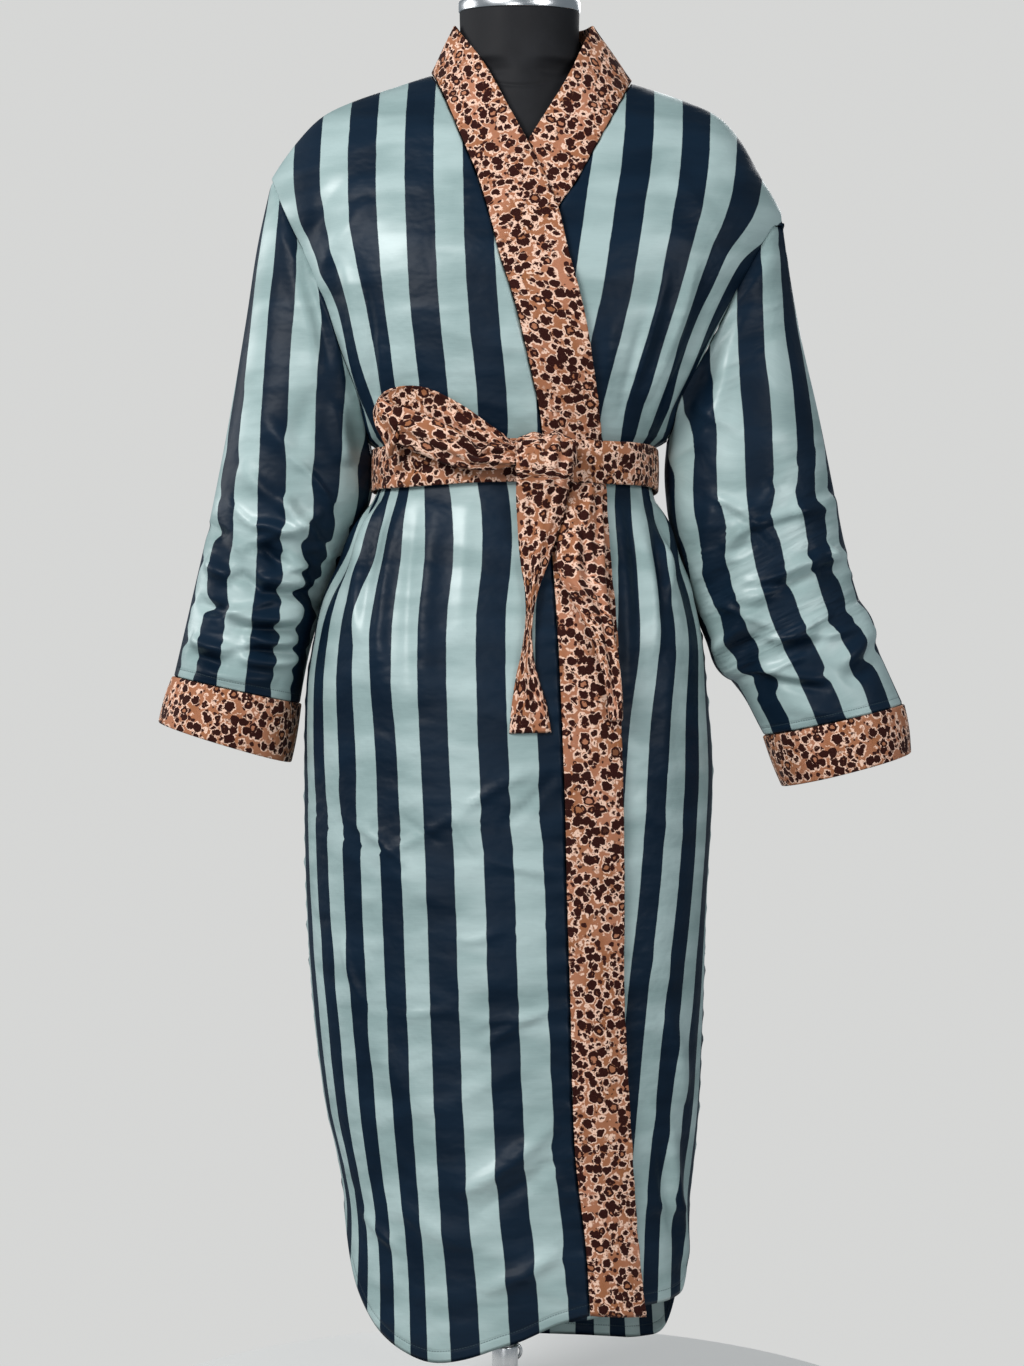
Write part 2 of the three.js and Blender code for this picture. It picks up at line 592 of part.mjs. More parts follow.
function bandGrid(stations, panel, lift, sign, neckline) {
  const outer = [];
  const inner = [];
  const plushRise = plushThickness - satinThickness;
  for (let r = 0; r < rows.length; r += 1) {
    const spot = panel.spots[r][0];
    const seamIn = spot.point.clone().addScaledVector(spot.normal, -satinThickness);
    seamIn.x += sign * seamGap;
    const seamOut = seamIn.clone().addScaledVector(spot.normal, plushThickness);
    const station = (column) => read(stations, 'seamZ', column, spot.point.z);
    const edge = new THREE.Vector3(station('edgeX'), station('edgeY'), station('edgeZ'));
    outer.push(bandColumns.map((w) => {
      if (w === 0) return seamOut;
      const x = mix(spot.point.x, edge.x, w);
      const z = mix(spot.point.z, edge.z, w);
      const flat = frontSpot(x, z, lift(x, z) + plushRise);
      const standing = seamOut.clone().lerp(edge, w);
      return flat.lerp(standing, station('stand'));
    }));
    inner.push([seamIn]);
  }
  for (const spot of neckline) {
    const seamIn = spot.point.clone().addScaledVector(spot.normal, -satinThickness);
    seamIn.z += 3 * seamGap;
    const seamOut = seamIn.clone().addScaledVector(spot.normal, plushThickness);
    const edge = new THREE.Vector3(...['x', 'y', 'z'].map((c) => read(standingEdge, 'seamX', c, spot.point.x)));
    outer.push(bandColumns.map((w) => seamOut.clone().lerp(edge, w)));
    inner.push([seamIn]);
  }
  const core = (p) => new THREE.Vector3(neckCentre, 0, Math.min(p.z, coreTop));
  const normals = gridNormals(outer, core, false);
  for (let r = 0; r < outer.length; r += 1) {
    for (let c = 1; c < bandColumns.length; c += 1) {
      inner[r].push(outer[r][c].clone().addScaledVector(normals[r][c], -plushThickness));
    }
  }
  return { outer, inner };
}

const neckSpots = back.spots[shoulderRow].slice(sideColumns + 1, sideColumns + neckColumns);
const halfNeck = Math.floor(neckSpots.length / 2);
const rightNeck = neckSpots.slice(0, halfNeck + 1);
const leftNeck = neckSpots.slice(halfNeck).reverse();
const overBandGrid = bandGrid(overBand, over, overLift, 1, rightNeck);
const underBandGrid = bandGrid(underBand, under, () => 0, -1, leftNeck);

// The two bands meet at the centre back, half the seam gap each side of it
for (const [grid, sign] of [[overBandGrid, -1], [underBandGrid, 1]]) {
  for (const layer of [grid.outer, grid.inner]) {
    for (const p of layer[layer.length - 1]) p.x = (neckRight + neckLeft + sign * seamGap) / 2;
  }
}
addWall('neckband_right', plush, overBandGrid.outer, overBandGrid.inner, false);
addWall('neckband_left', plush, underBandGrid.outer, underBandGrid.inner, false);

// Belt: a closed ring about the waist, held off the layers under it, its middle standing a little proud
const beltProud = 0.7;
const beltRing = [
  { z: waistHeight - beltWidth / 2, out: 0 },
  { z: waistHeight - beltWidth / 4, out: beltProud },
  { z: waistHeight + beltWidth / 4, out: beltProud },
  { z: waistHeight + beltWidth / 2, out: 0 },
];
const beltSteps = 44;
const beltClear = 1.4;
const bandLift = overlapLift + plushThickness - satinThickness;

function beltSpot(turn, ring) {
  const behind = Math.abs(turn) > Math.PI / 2;
  const x = xAtTurn(behind ? Math.sign(turn) * Math.PI - turn : turn, waistHeight);
  const depth = bodyDepth(behind ? 'back' : 'front', x, waistHeight);
  const layers = behind ? 0 : bandLift * (1 - ease(0.7, 1.35, Math.abs(turn)));
  const away = new THREE.Vector3(Math.sin(turn), -1.2 * Math.cos(turn), 0).normalize();
  const point = new THREE.Vector3(x, behind ? depth : -depth, ring.z);
  return { point: point.addScaledVector(away, layers + beltClear + ring.out), away };
}

const beltSpots = beltRing.map((ring) => Array.from({ length: beltSteps }, (_, i) => {
  return beltSpot(-Math.PI + (2 * Math.PI * (i + 0.5)) / beltSteps, ring);
}));
const beltInner = beltSpots.map((line) => line.map((b) => b.point));
const beltOuter = beltSpots.map((line) => line.map((b) => b.point.clone().addScaledVector(b.away, plushThickness)));
addWall('belt_wrap', plush, beltOuter, beltInner, true);

// A strip of the belt by stations across it, a place and a lift off the body for both of its edges
// The middle of each station stands forward by its crown
function stripGrid(stations, columns, steps) {
  const place = (side) => stations.map((s) => frontSpot(s[side + 'X'], s[side + 'Z'], s[side + 'Lift']));
  const first = new THREE.CatmullRomCurve3(place('left'), false, 'centripetal');
  const second = new THREE.CatmullRomCurve3(place('right'), false, 'centripetal');
  return shares(steps).map((t) => {
    const i = t * (stations.length - 1);
    const low = Math.min(stations.length - 2, Math.floor(i));
    const crown = mix(stations[low].crown, stations[low + 1].crown, i - low);
    const a = first.getPoint(t);
    const b = second.getPoint(t);
    return shares(columns).map((w) => {
      const p = a.clone().lerp(b, w);
      p.y -= crown * 4 * w * (1 - w);
      return p;
    });
  });
}

function addStrip(name, stations, columns, steps) {
  const outer = stripGrid(stations, columns, steps);
  const normals = gridNormals(outer, (p) => p.clone().add(new THREE.Vector3(0, 1, 0)), false);
  addWall(name, plush, outer, inward(outer, normals, plushThickness), false);
}

// The tail that falls in front, turned on itself at a third of its length
const tailOne = [
  { leftX: 10, leftZ: 905.9, rightX: 55, rightZ: 905.9, leftLift: 19, rightLift: 19, crown: 3 },
  { leftX: 10, leftZ: 885, rightX: 54, rightZ: 885, leftLift: 17, rightLift: 17, crown: 3 },
  { leftX: 11, leftZ: 855, rightX: 47, rightZ: 855, leftLift: 15, rightLift: 16, crown: 3 },
  { leftX: 13, leftZ: 830, rightX: 39, rightZ: 830, leftLift: 13, rightLift: 14, crown: 3 },
  { leftX: 17, leftZ: 806, rightX: 31, rightZ: 806, leftLift: 10, rightLift: 13, crown: 3 },
  { leftX: 18, leftZ: 780, rightX: 26, rightZ: 780, leftLift: 9, rightLift: 13, crown: 2 },
  { leftX: 14, leftZ: 750, rightX: 27, rightZ: 750, leftLift: 9, rightLift: 11, crown: 2 },
  { leftX: 8, leftZ: 716, rightX: 34, rightZ: 716, leftLift: 9, rightLift: 10, crown: 1 },
  { leftX: 4, leftZ: 679, rightX: 42, rightZ: 680, leftLift: 9, rightLift: 10, crown: 1 },
];

// The tail behind it, lying over the neckband
const tailTwo = [
  { leftX: 57, leftZ: 904, rightX: 86, rightZ: 902, leftLift: 13, rightLift: 12, crown: 1 },
  { leftX: 47, leftZ: 862, rightX: 88, rightZ: 858, leftLift: 11, rightLift: 11, crown: 0 },
  { leftX: 47, leftZ: 822, rightX: 89, rightZ: 815, leftLift: 11, rightLift: 11, crown: 0 },
  { leftX: 64, leftZ: 790, rightX: 94, rightZ: 785, leftLift: 11, rightLift: 11, crown: 1 },
  { leftX: 80, leftZ: 748, rightX: 99, rightZ: 748, leftLift: 11, rightLift: 12, crown: 2 },
  { leftX: 88, leftZ: 716, rightX: 102, rightZ: 716, leftLift: 11, rightLift: 12, crown: 2 },
  { leftX: 90, leftZ: 690, rightX: 103, rightZ: 690, leftLift: 11, rightLift: 12, crown: 1 },
];
addStrip('belt_tail_1', tailOne, 3, 24);
addStrip('belt_tail_2', tailTwo, 3, 18);

// The loop of the half bow: out to the wearer's right, round its end and back behind itself
const loop = [
  { leftX: 9.5, leftZ: 920, rightX: 9.5, rightZ: 946, leftLift: 24, rightLift: 24, crown: 2 },
  { leftX: -20, leftZ: 918, rightX: -14, rightZ: 953, leftLift: 25, rightLift: 25, crown: 4 },
  { leftX: -52, leftZ: 926, rightX: -42, rightZ: 968, leftLift: 27, rightLift: 27, crown: 5 },
  { leftX: -84, leftZ: 942, rightX: -74, rightZ: 983, leftLift: 31, rightLift: 31, crown: 3 },
  { leftX: -104, leftZ: 962, rightX: -98, rightZ: 994, leftLift: 31, rightLift: 29, crown: 1 },
  { leftX: -112, leftZ: 978, rightX: -109, rightZ: 1001, leftLift: 23, rightLift: 21, crown: 0 },
  { leftX: -104, leftZ: 970, rightX: -99, rightZ: 1003, leftLift: 13, rightLift: 12, crown: 0 },
  { leftX: -78, leftZ: 956, rightX: -68, rightZ: 995, leftLift: 12, rightLift: 11, crown: 0 },
  { leftX: -46, leftZ: 940, rightX: -38, rightZ: 976, leftLift: 15, rightLift: 13, crown: 0 },
  { leftX: -16, leftZ: 932, rightX: -10, rightZ: 956, leftLift: 15, rightLift: 14.5, crown: 0 },
  { leftX: 9.3, leftZ: 930, rightX: 9.3, rightZ: 946, leftLift: 14.5, rightLift: 14.5, crown: 0 },
];
const loopOuter = stripGrid(loop, 3, 36);
const loopNormals = gridNormals(loopOuter, (p) => p, false);
addWall('belt_loop', plush, loopOuter, inward(loopOuter, loopNormals, plushThickness), false);

// Closes a stack of rings into one solid with a flat face at each end
function addStack(name, material, rings) {
  const count = rings[0].length;
  const positions = [];
  for (const ring of rings) for (const p of ring) positions.push(p.x, p.y, p.z);
  const indices = [];
  for (let r = 0; r < rings.length - 1; r += 1) {
    for (let c = 0; c < count; c += 1) {
      const a = r * count + c;
      const b = r * count + ((c + 1) % count);
      indices.push(a, b, b + count, a, b + count, a + count);
    }
  }
  for (let c = 1; c < count - 1; c += 1) {
    const end = (rings.length - 1) * count;
    indices.push(0, c + 1, c, end, end + c, end + c + 1);
  }
  add(name, material, positions, facingOut(positions, indices));
}

function superellipse(turn, power) {
  const c = Math.cos(turn);
  const s = Math.sin(turn);
  return [Math.sign(s) * Math.abs(s) ** (2 / power), Math.sign(c) * Math.abs(c) ** (2 / power)];
}

// The knot: the belt drawn over itself, a rounded block in front of the wrap
const knotDepth = 11.5;
const knotCentre = 36;
const knotBack = frontSpot(knotCentre, waistHeight, bandLift + beltClear + beltProud + plushThickness + seamGap).y;
const knot = [
  { x: 10, high: 13, deep: 5 },
  { x: 12, high: 18, deep: 8 },
  { x: 18, high: 22, deep: 10.5 },
  { x: 30, high: 24, deep: knotDepth },
  { x: 46, high: 24, deep: knotDepth },
  { x: 56, high: 22, deep: 10 },
  { x: 61, high: 18, deep: 8 },
  { x: 63, high: 12, deep: 5 },
];
const knotSteps = 18;
const knotHeight = waistHeight + 4;
addStack('belt_knot', plush, knot.map((k) => Array.from({ length: knotSteps }, (_, i) => {
  const [forward, up] = superellipse((2 * Math.PI * i) / knotSteps, 2.6);
  return new THREE.Vector3(k.x, knotBack - knotDepth - k.deep * forward, knotHeight + k.high * up);
})));

// Dress form: a limbless torso and neck, smooth all round, under the robe and clear of it
// Its shoulders carry the cloth. The neck's top leans forward.
const formRings = [
  { z: 640, centre: 2, half: 140, front: 84, back: 92, power: 2.2, tilt: 0 },
  { z: 646, centre: 2, half: 152, front: 92, back: 100, power: 2.2, tilt: 0 },
  { z: 665, centre: 2, half: 162, front: 98, back: 110, power: 2.2, tilt: 0 },
  { z: 700, centre: 3, half: 169, front: 103, back: 118, power: 2.2, tilt: 0 },
  { z: 745, centre: 4, half: 168, front: 103, back: 118, power: 2.2, tilt: 0 },
  { z: 795, centre: 5, half: 156, front: 98, back: 106, power: 2.2, tilt: 0 },
  { z: 845, centre: 7, half: 135, front: 88, back: 90, power: 2.2, tilt: 0 },
  { z: 890, centre: 8, half: 121, front: 84, back: 83, power: 2.2, tilt: 0 },
  { z: 928, centre: 9, half: 117, front: 84, back: 82, power: 2.2, tilt: 0 },
  { z: 965, centre: 9, half: 120, front: 88, back: 84, power: 2.2, tilt: 0 },
  { z: 1010, centre: 10, half: 129, front: 100, back: 90, power: 2.2, tilt: 0 },
  { z: 1055, centre: 12, half: 138, front: 111, back: 95, power: 2.2, tilt: 0 },
  { z: 1095, centre: 13, half: 145, front: 112, back: 98, power: 2.2, tilt: 0 },
  { z: 1135, centre: 14, half: 152, front: 104, back: 98, power: 2.1, tilt: 0 },
  { z: 1175, centre: 14, half: 160, front: 93, back: 94, power: 2, tilt: 0 },
  { z: 1210, centre: 14, half: 167, front: 81, back: 88, power: 1.9, tilt: 0 },
  { z: 1236, centre: 14, half: 172, front: 71, back: 81, power: 1.7, tilt: 0 },
  { z: 1256, centre: 14, half: 173, front: 64, back: 73, power: 1.45, tilt: 0 },
  { z: 1269, centre: 14, half: 169, front: 60.3, back: 66, power: 1.25, tilt: 0 },
  { z: 1278.8, centre: 14, half: 162, front: 59, back: 61, power: 1.12, tilt: 0 },
  { z: 1286.7, centre: 14, half: 138.5, front: 58.4, back: 59, power: 1.1, tilt: 0 },
  { z: 1294.7, centre: 14, half: 115, front: 57.9, back: 58, power: 1.12, tilt: 0 },
  { z: 1301, centre: 14, half: 86, front: 57.7, back: 57.5, power: 1.18, tilt: 0 },
  { z: 1308, centre: 14, half: 68, front: 57.6, back: 57.5, power: 1.5, tilt: 0 },
  { z: 1317, centre: 14, half: 62, front: 57.5, back: 57.5, power: 2, tilt: 0.03 },
  { z: 1330, centre: 14, half: neckRadius, front: neckRadius, back: neckRadius, power: 2, tilt: 0.08 },
  { z: neckTop, centre: 14, half: neckRadius, front: neckRadius, back: neckRadius, power: 2, tilt: rimTilt },
];
const formSteps = 32;
addStack('form_torso', formCloth, formRings.map((ring) => Array.from({ length: formSteps }, (_, i) => {
  const [forward, across] = superellipse((2 * Math.PI * i) / formSteps, ring.power);
  const y = forward > 0 ? -ring.front * forward : -ring.back * forward;
  return new THREE.Vector3(ring.centre + ring.half * across, y, ring.z + ring.tilt * y);
})));

// The chrome cap on the neck, tilted as the neck's top is
const capProfile = [
  { radius: neckRadius + 1, up: seamGap },
  { radius: neckRadius + 1, up: capHeight * 0.4 },
  { radius: neckRadius - 1, up: capHeight * 0.48 },
  { radius: neckRadius * 0.8, up: capHeight * 0.66 },
  { radius: neckRadius * 0.4, up: capHeight * 0.86 },
  { radius: neckRadius * 0.14, up: capHeight * 0.9 },
  { radius: neckRadius * 0.1, up: capHeight },
];
addStack('neck_cap', chrome, capProfile.map((ring) => Array.from({ length: formSteps }, (_, i) => {
  const turn = (2 * Math.PI * i) / formSteps;
  const y = ring.radius * Math.cos(turn);
  return new THREE.Vector3(neckCentre + ring.radius * Math.sin(turn), y, neckTop + ring.up + rimTilt * y);
})));

// Stand: an inner pole in an outer tube on a round plate, with the clamp's pull ring behind the tube
function addTurned(name, material, profile, steps) {
  const lathe = new THREE.LatheGeometry(profile.map(([r, z]) => new THREE.Vector2(r, z)), steps);
  lathe.rotateX(Math.PI / 2);
  const mesh = new THREE.Mesh(lathe, material);
  mesh.name = name;
  robe.add(mesh);
}

const formBottom = formRings[0].z;
addTurned('pole', chrome, [
  [0, tubeTop + seamGap],
  [innerPoleRadius, tubeTop + seamGap],
  [innerPoleRadius, formBottom - seamGap],
  [0, formBottom - seamGap],
], 24);
addTurned('pole_collar', chrome, [
  [0, hubHeight + seamGap],
  [poleRadius - 1, hubHeight + seamGap],
  [poleRadius - 1, tubeTop - 34],
  [poleRadius, tubeTop - 32],
  [poleRadius, tubeTop - 1],
  [poleRadius - 1, tubeTop],
  [0, tubeTop],
], 24);
addTurned('base_plate', blackPaint, [
  [0, 0],
  [baseRadius, 0],
  [baseRadius, baseThickness - 2],
  [baseRadius - 3, baseThickness],
  [hubRadius + 3, baseThickness],
  [hubRadius, baseThickness + 2],
  [hubRadius - 2, hubHeight],
  [0, hubHeight],
], 40);

const ringRadius = 7.4;
const ringWire = 1.6;
const pullRing = new THREE.Mesh(new THREE.TorusGeometry(ringRadius, ringWire, 6, 20), chrome);
pullRing.name = 'collar_ring';
pullRing.rotation.x = Math.PI / 2;
pullRing.position.set(8, poleRadius + seamGap + ringWire, tubeTop - ringRadius - ringWire - 2);
robe.add(pullRing);

export default robe;
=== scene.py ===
import bmesh
import bpy
import numpy as np
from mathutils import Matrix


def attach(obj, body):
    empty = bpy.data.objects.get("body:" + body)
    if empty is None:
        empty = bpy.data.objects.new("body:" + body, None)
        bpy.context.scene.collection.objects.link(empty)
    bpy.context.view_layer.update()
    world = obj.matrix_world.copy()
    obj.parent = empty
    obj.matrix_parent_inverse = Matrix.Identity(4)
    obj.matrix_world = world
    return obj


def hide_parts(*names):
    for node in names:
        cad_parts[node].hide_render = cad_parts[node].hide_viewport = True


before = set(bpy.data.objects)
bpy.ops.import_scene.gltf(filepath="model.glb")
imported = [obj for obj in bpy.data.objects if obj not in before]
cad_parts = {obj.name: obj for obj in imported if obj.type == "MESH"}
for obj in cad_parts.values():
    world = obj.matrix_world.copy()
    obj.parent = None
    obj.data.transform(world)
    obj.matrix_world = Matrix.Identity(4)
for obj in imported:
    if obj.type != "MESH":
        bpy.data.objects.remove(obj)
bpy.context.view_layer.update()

# Camera: level, at half the robe's height, looking straight at the robe's front from 2.4 m
lens = bpy.data.cameras.new("camera")
lens.lens = 65.89
lens.sensor_width = 36.0
camera = bpy.data.objects.new("camera", lens)
camera.location = (0.0068, -2.4, 0.725)
camera.rotation_euler = (np.pi / 2, 0.0, 0.0)
bpy.context.scene.collection.objects.link(camera)
bpy.context.scene.camera = camera
bpy.context.scene.view_settings.view_transform = "Standard"


# Stand: a round steel base plate in black paint, with a chromed tube screwed into its hub.
# A thinner chromed pole slides in the tube and is clamped at its top, where a pull ring hangs behind.
# Sizes in these sections are millimetres, as a maker would write them, and meshes are made in metres.
millimetre = 0.001


class Wire:
    """A number or colour on its way through a material. Its operators add Math nodes."""

    def __init__(self, finish, socket):
        self.finish = finish
        self.socket = socket

    def maths(self, operation, *values):
        node = self.finish.add("ShaderNodeMath", {"operation": operation}, dict(enumerate(values)))
        return node["Value"]

    def __add__(self, other):
        return self.maths("ADD", self, other)

    def __sub__(self, other):
        return self.maths("SUBTRACT", self, other)

    def __rsub__(self, other):
        return self.maths("SUBTRACT", other, self)

    def __mul__(self, other):
        return self.maths("MULTIPLY", self, other)

    def __truediv__(self, other):
        return self.maths("DIVIDE", self, other)

    __radd__ = __add__
    __rmul__ = __mul__

    def size(self):
        """The number without its sign."""
        return self.maths("ABSOLUTE", self)

    def ping(self, reach):
        """The number folded to and fro between 0 and reach."""
        return self.maths("PINGPONG", self, reach)

    def rises(self, low, high):
        """0 below low, 1 above high, and an even S-curve between."""
        settings = {"interpolation_type": "SMOOTHSTEP"}
        sockets = {"Value": self, "From Min": low, "From Max": high}
        node = self.finish.add("ShaderNodeMapRange", settings, sockets)
        return node["Result"]


class Outputs:
    """A node whose outputs are read by name as wires."""

    def __init__(self, finish, node):
        self.finish = finish
        self.node = node

    def __getitem__(self, name):
        return Wire(self.finish, self.node.outputs[name])


class Finish:
    """A material, made node by node."""

    def __init__(self, name):
        self.material = bpy.data.materials.new(name)
        self.material.use_nodes = True
        self.tree = self.material.node_tree
        self.tree.nodes.clear()

    def add(self, kind, settings, sockets):
        """A node of any kind: its settings first, then a value or a wire for each named socket."""
        node = self.tree.nodes.new(kind)
        for name, value in settings.items():
            setattr(node, name, value)
        for name, value in sockets.items():
            if isinstance(value, Wire):
                self.tree.links.new(value.socket, node.inputs[name])
            else:
                node.inputs[name].default_value = value
        return Outputs(self, node)

    def place(self, layer=None):
        """Where a point lies: on the piece itself, or on one of its flat maps."""
        if layer is None:
            return self.add("ShaderNodeTexCoord", {}, {})["Object"]
        return self.add("ShaderNodeUVMap", {"uv_map": layer}, {})["UV"]

    def stretched(self, place, scale):
        """A place multiplied by a scale for each of its three parts."""
        settings = {"operation": "MULTIPLY"}
        return self.add("ShaderNodeVectorMath", settings, {0: place, 1: scale})["Vector"]

    def grain(self, place, scale, detail=3.0, roughness=0.55):
        """Soft noise between 0 and 1."""
        sockets = {"Vector": place, "Scale": scale, "Detail": detail, "Roughness": roughness}
        return self.add("ShaderNodeTexNoise", {}, sockets)["Fac"]

    def blend(self, share, one, two):
        """Colour one where share is 0, two where it is 1."""
        settings = {"data_type": "RGBA"}
        node = self.add("ShaderNodeMix", settings, {0: share, 6: one, 7: two})
        return Wire(self, node.node.outputs[2])

    def relief(self, height, distance, strength=1.0, under=None):
        """A surface direction that leans as if height stood out by distance, over another relief."""
        sockets = {"Height": height, "Distance": distance, "Strength": strength}
        if under is not None:
            sockets["Normal"] = under
        return self.add("ShaderNodeBump", {}, sockets)["Normal"]

    def close(self, **sockets):
        """Ends the material in one principled surface."""
        named = {name.replace("_", " "): value for name, value in sockets.items()}
        surface = self.add("ShaderNodeBsdfPrincipled", {}, named)["BSDF"]
        self.add("ShaderNodeOutputMaterial", {}, {"Surface": surface})
        return self.material


def chrome_finish():
    """Polished chrome: clouded a little by handling, with faint marks that run up and down."""
    finish = Finish("chrome")
    place = finish.place()
    clouds = finish.grain(place, 38.0)
    marks = finish.grain(finish.stretched(place, (900.0, 900.0, 30.0)), 1.0, 2.0)
    tone = finish.blend(clouds, (0.62, 0.63, 0.64, 1.0), (0.78, 0.79, 0.8, 1.0))
    normal = finish.relief(marks, 0.00003, 0.25)
    return finish.close(Base_Color=tone, Metallic=1.0, Roughness=0.2 + clouds * 0.14, Normal=normal)


def black_paint_finish():
    """Black satin paint with a fine orange peel, rubbed a little lighter in patches."""
    finish = Finish("black_paint")
    place = finish.place()
    patches = finish.grain(place, 9.0, 5.0)
    peel = finish.grain(place, 700.0, 2.0)
    tone = finish.blend(patches.rises(0.45, 0.75), (0.012, 0.012, 0.013, 1.0), (0.028, 0.028, 0.03, 1.0))
    normal = finish.relief(peel, 0.0001, 0.4)
    return finish.close(Base_Color=tone, Roughness=0.32 + patches * 0.2, Normal=normal)


def mesh_of(name, points, faces, maps, finish):
    """An object from points in millimetres and faces of four corners.
    Each flat map gives one place in metres for every corner."""
    mesh = bpy.data.meshes.new(name)
    mesh.from_pydata(points * millimetre, [], faces)
    for layer, places in maps.items():
        mesh.uv_layers.new(name=layer).uv.foreach_set("vector", places.astype(np.float32).ravel())
    shape = bmesh.new()
    shape.from_mesh(mesh)
    bmesh.ops.remove_doubles(shape, verts=shape.verts, dist=1e-6)
    for face in shape.faces:
        face.smooth = True
    shape.to_mesh(mesh)
    shape.free()
    mesh.materials.append(finish)
    piece = bpy.data.objects.new(name, mesh)
    bpy.context.scene.collection.objects.link(piece)
    return piece


def corners(grid):
    """The four neighbours of each cell of a grid, in turn round the cell."""
    return np.stack([grid[:-1, :-1], grid[:-1, 1:], grid[1:, 1:], grid[1:, :-1]], axis=2)


def grid_mesh(name, points, finish, flipped=False, flat=None):
    """An object with one face for each cell of a grid of points, and its flat map if it has one."""
    index = np.arange(points.shape[0] * points.shape[1]).reshape(points.shape[:2])
    faces = corners(index).reshape(-1, 4)
    if flipped:
        faces = faces[:, ::-1]
    maps = {}
    if flat is not None:
        maps["cloth"] = corners(flat).reshape(-1, 4, 2) * millimetre
    return mesh_of(name, points.reshape(-1, 3), faces, maps, finish)


def turned(name, profile, finish, steps=96, tilt=0.0, centre=0.0):
    """A profile of radius and height carried round an upright axis: x = r sin a, y = r cos a.
    Its height leans with y: z = h + tilt y."""
    profile = np.array(profile, float)
    angle = np.linspace(0.0, 2 * np.pi, steps + 1)
    radius = profile[:, :1]
    x = radius * np.sin(angle)
    y = radius * np.cos(angle)
    points = np.stack([centre + x, y, profile[:, 1:] + tilt * y], axis=2)
    return grid_mesh(name, points, finish)


chrome = chrome_finish()
black_paint = black_paint_finish()
tube_top = 91.0
tube_gap = 0.3
ring_radius = 7.4
wire_radius = 1.6
ring_middle = (8.0, 14.4, tube_top - 11.0)
base = turned("round_base", [
    (0, 14), (20, 14), (21.6, 13.6), (22.2, 12.6), (23.6, 10), (24.8, 8.7), (27, 8), (156.5, 8),
    (158.8, 7.3), (160, 5.8), (160, 1), (159, 0), (0, 0),
], black_paint, 160)
tube = turned("clamp_tube", [
    (0, tube_top), (9.9, tube_top), (11.2, tube_top - 0.3), (12.3, tube_top - 1.2),
    (12.5, tube_top - 2.4), (12.5, tube_top - 31), (12.2, tube_top - 32.2), (11.5, tube_top - 33),
    (11.5, 15), (11.2, 14.3), (0, 14.3),
], chrome)
pole_foot = tube_top + tube_gap
pole = turned("pole_tube", [(0, 639.7), (9.5, 639.7), (9.5, pole_foot), (0, pole_foot)], chrome, 72)
ring_turn = np.linspace(0.0, 2 * np.pi, 65)[:, None]
wire_turn = np.linspace(0.0, 2 * np.pi, 21)
ring_reach = ring_radius + wire_radius * np.cos(wire_turn)
ring_points = np.stack([
    ring_middle[0] + ring_reach * np.cos(ring_turn),
    ring_middle[1] + wire_radius * np.sin(wire_turn) + 0.0 * ring_turn,
    ring_middle[2] + ring_reach * np.sin(ring_turn),
], axis=2)
ring = grid_mesh("clamp_ring", ring_points, chrome, flipped=True)
for piece, node, slot in ((base, "base_plate", "black_paint"), (tube, "pole_collar", "chrome"),
                          (pole, "pole", "chrome"), (ring, "collar_ring", "chrome")):
    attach(piece, "root")
    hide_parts(node)


# Dress form: a hollow moulded torso and neck in black jersey, sewn round the neck, with no arms or legs.
# The chromed cap closes the neck, which leans a little forward, and its low knob lifts the form.
def table(columns, rows):
    """Rows of numbers under named columns, as one array for each name."""
    return dict(zip(columns.split(), np.array(rows, float).T))


def read(rows, key, column, value):
    """A column at any value of the key, on a cubic through the rows whose slope at each row is that
    between its neighbours. Outside the table the end values hold."""
    keys, heights = rows[key], rows[column]
    slopes = np.empty_like(heights)
    slopes[1:-1] = (heights[2:] - heights[:-2]) / (keys[2:] - keys[:-2])
    slopes[0] = (heights[1] - heights[0]) / (keys[1] - keys[0])
    slopes[-1] = (heights[-1] - heights[-2]) / (keys[-1] - keys[-2])
    low = np.clip(np.searchsorted(keys, value) - 1, 0, len(keys) - 2)
    span = keys[low + 1] - keys[low]
    t = np.clip((value - keys[low]) / span, 0.0, 1.0)
    start, end = heights[low], heights[low + 1]
    rise = end - start
    bend = (1 - t) * (slopes[low] * span - rise) - t * (slopes[low + 1] * span - rise)
    return start + rise * t + t * (1 - t) * bend


def signed_power(value, power):
    """The number's size raised to a power, with its own sign."""
    return np.sign(value) * np.abs(value) ** power


def jersey_finish():
    """Black jersey: a fine knit of upright ribs, a little lighter where it is stretched and dusty."""
    finish = Finish("form_jersey")
    place = finish.place()
    ribs = finish.grain(finish.stretched(place, (1500.0, 1500.0, 260.0)), 1.0, 2.0)
    dust = finish.grain(place, 24.0, 5.0)
    tone = finish.blend(dust.rises(0.4, 0.8), (0.005, 0.005, 0.0065, 1.0), (0.012, 0.0125, 0.015, 1.0))
    normal = finish.relief(ribs, 0.0002, 0.5)
    return finish.close(Base_Color=tone, Roughness=0.62 + dust * 0.2, Normal=normal,
                        Specular_IOR_Level=0.3)


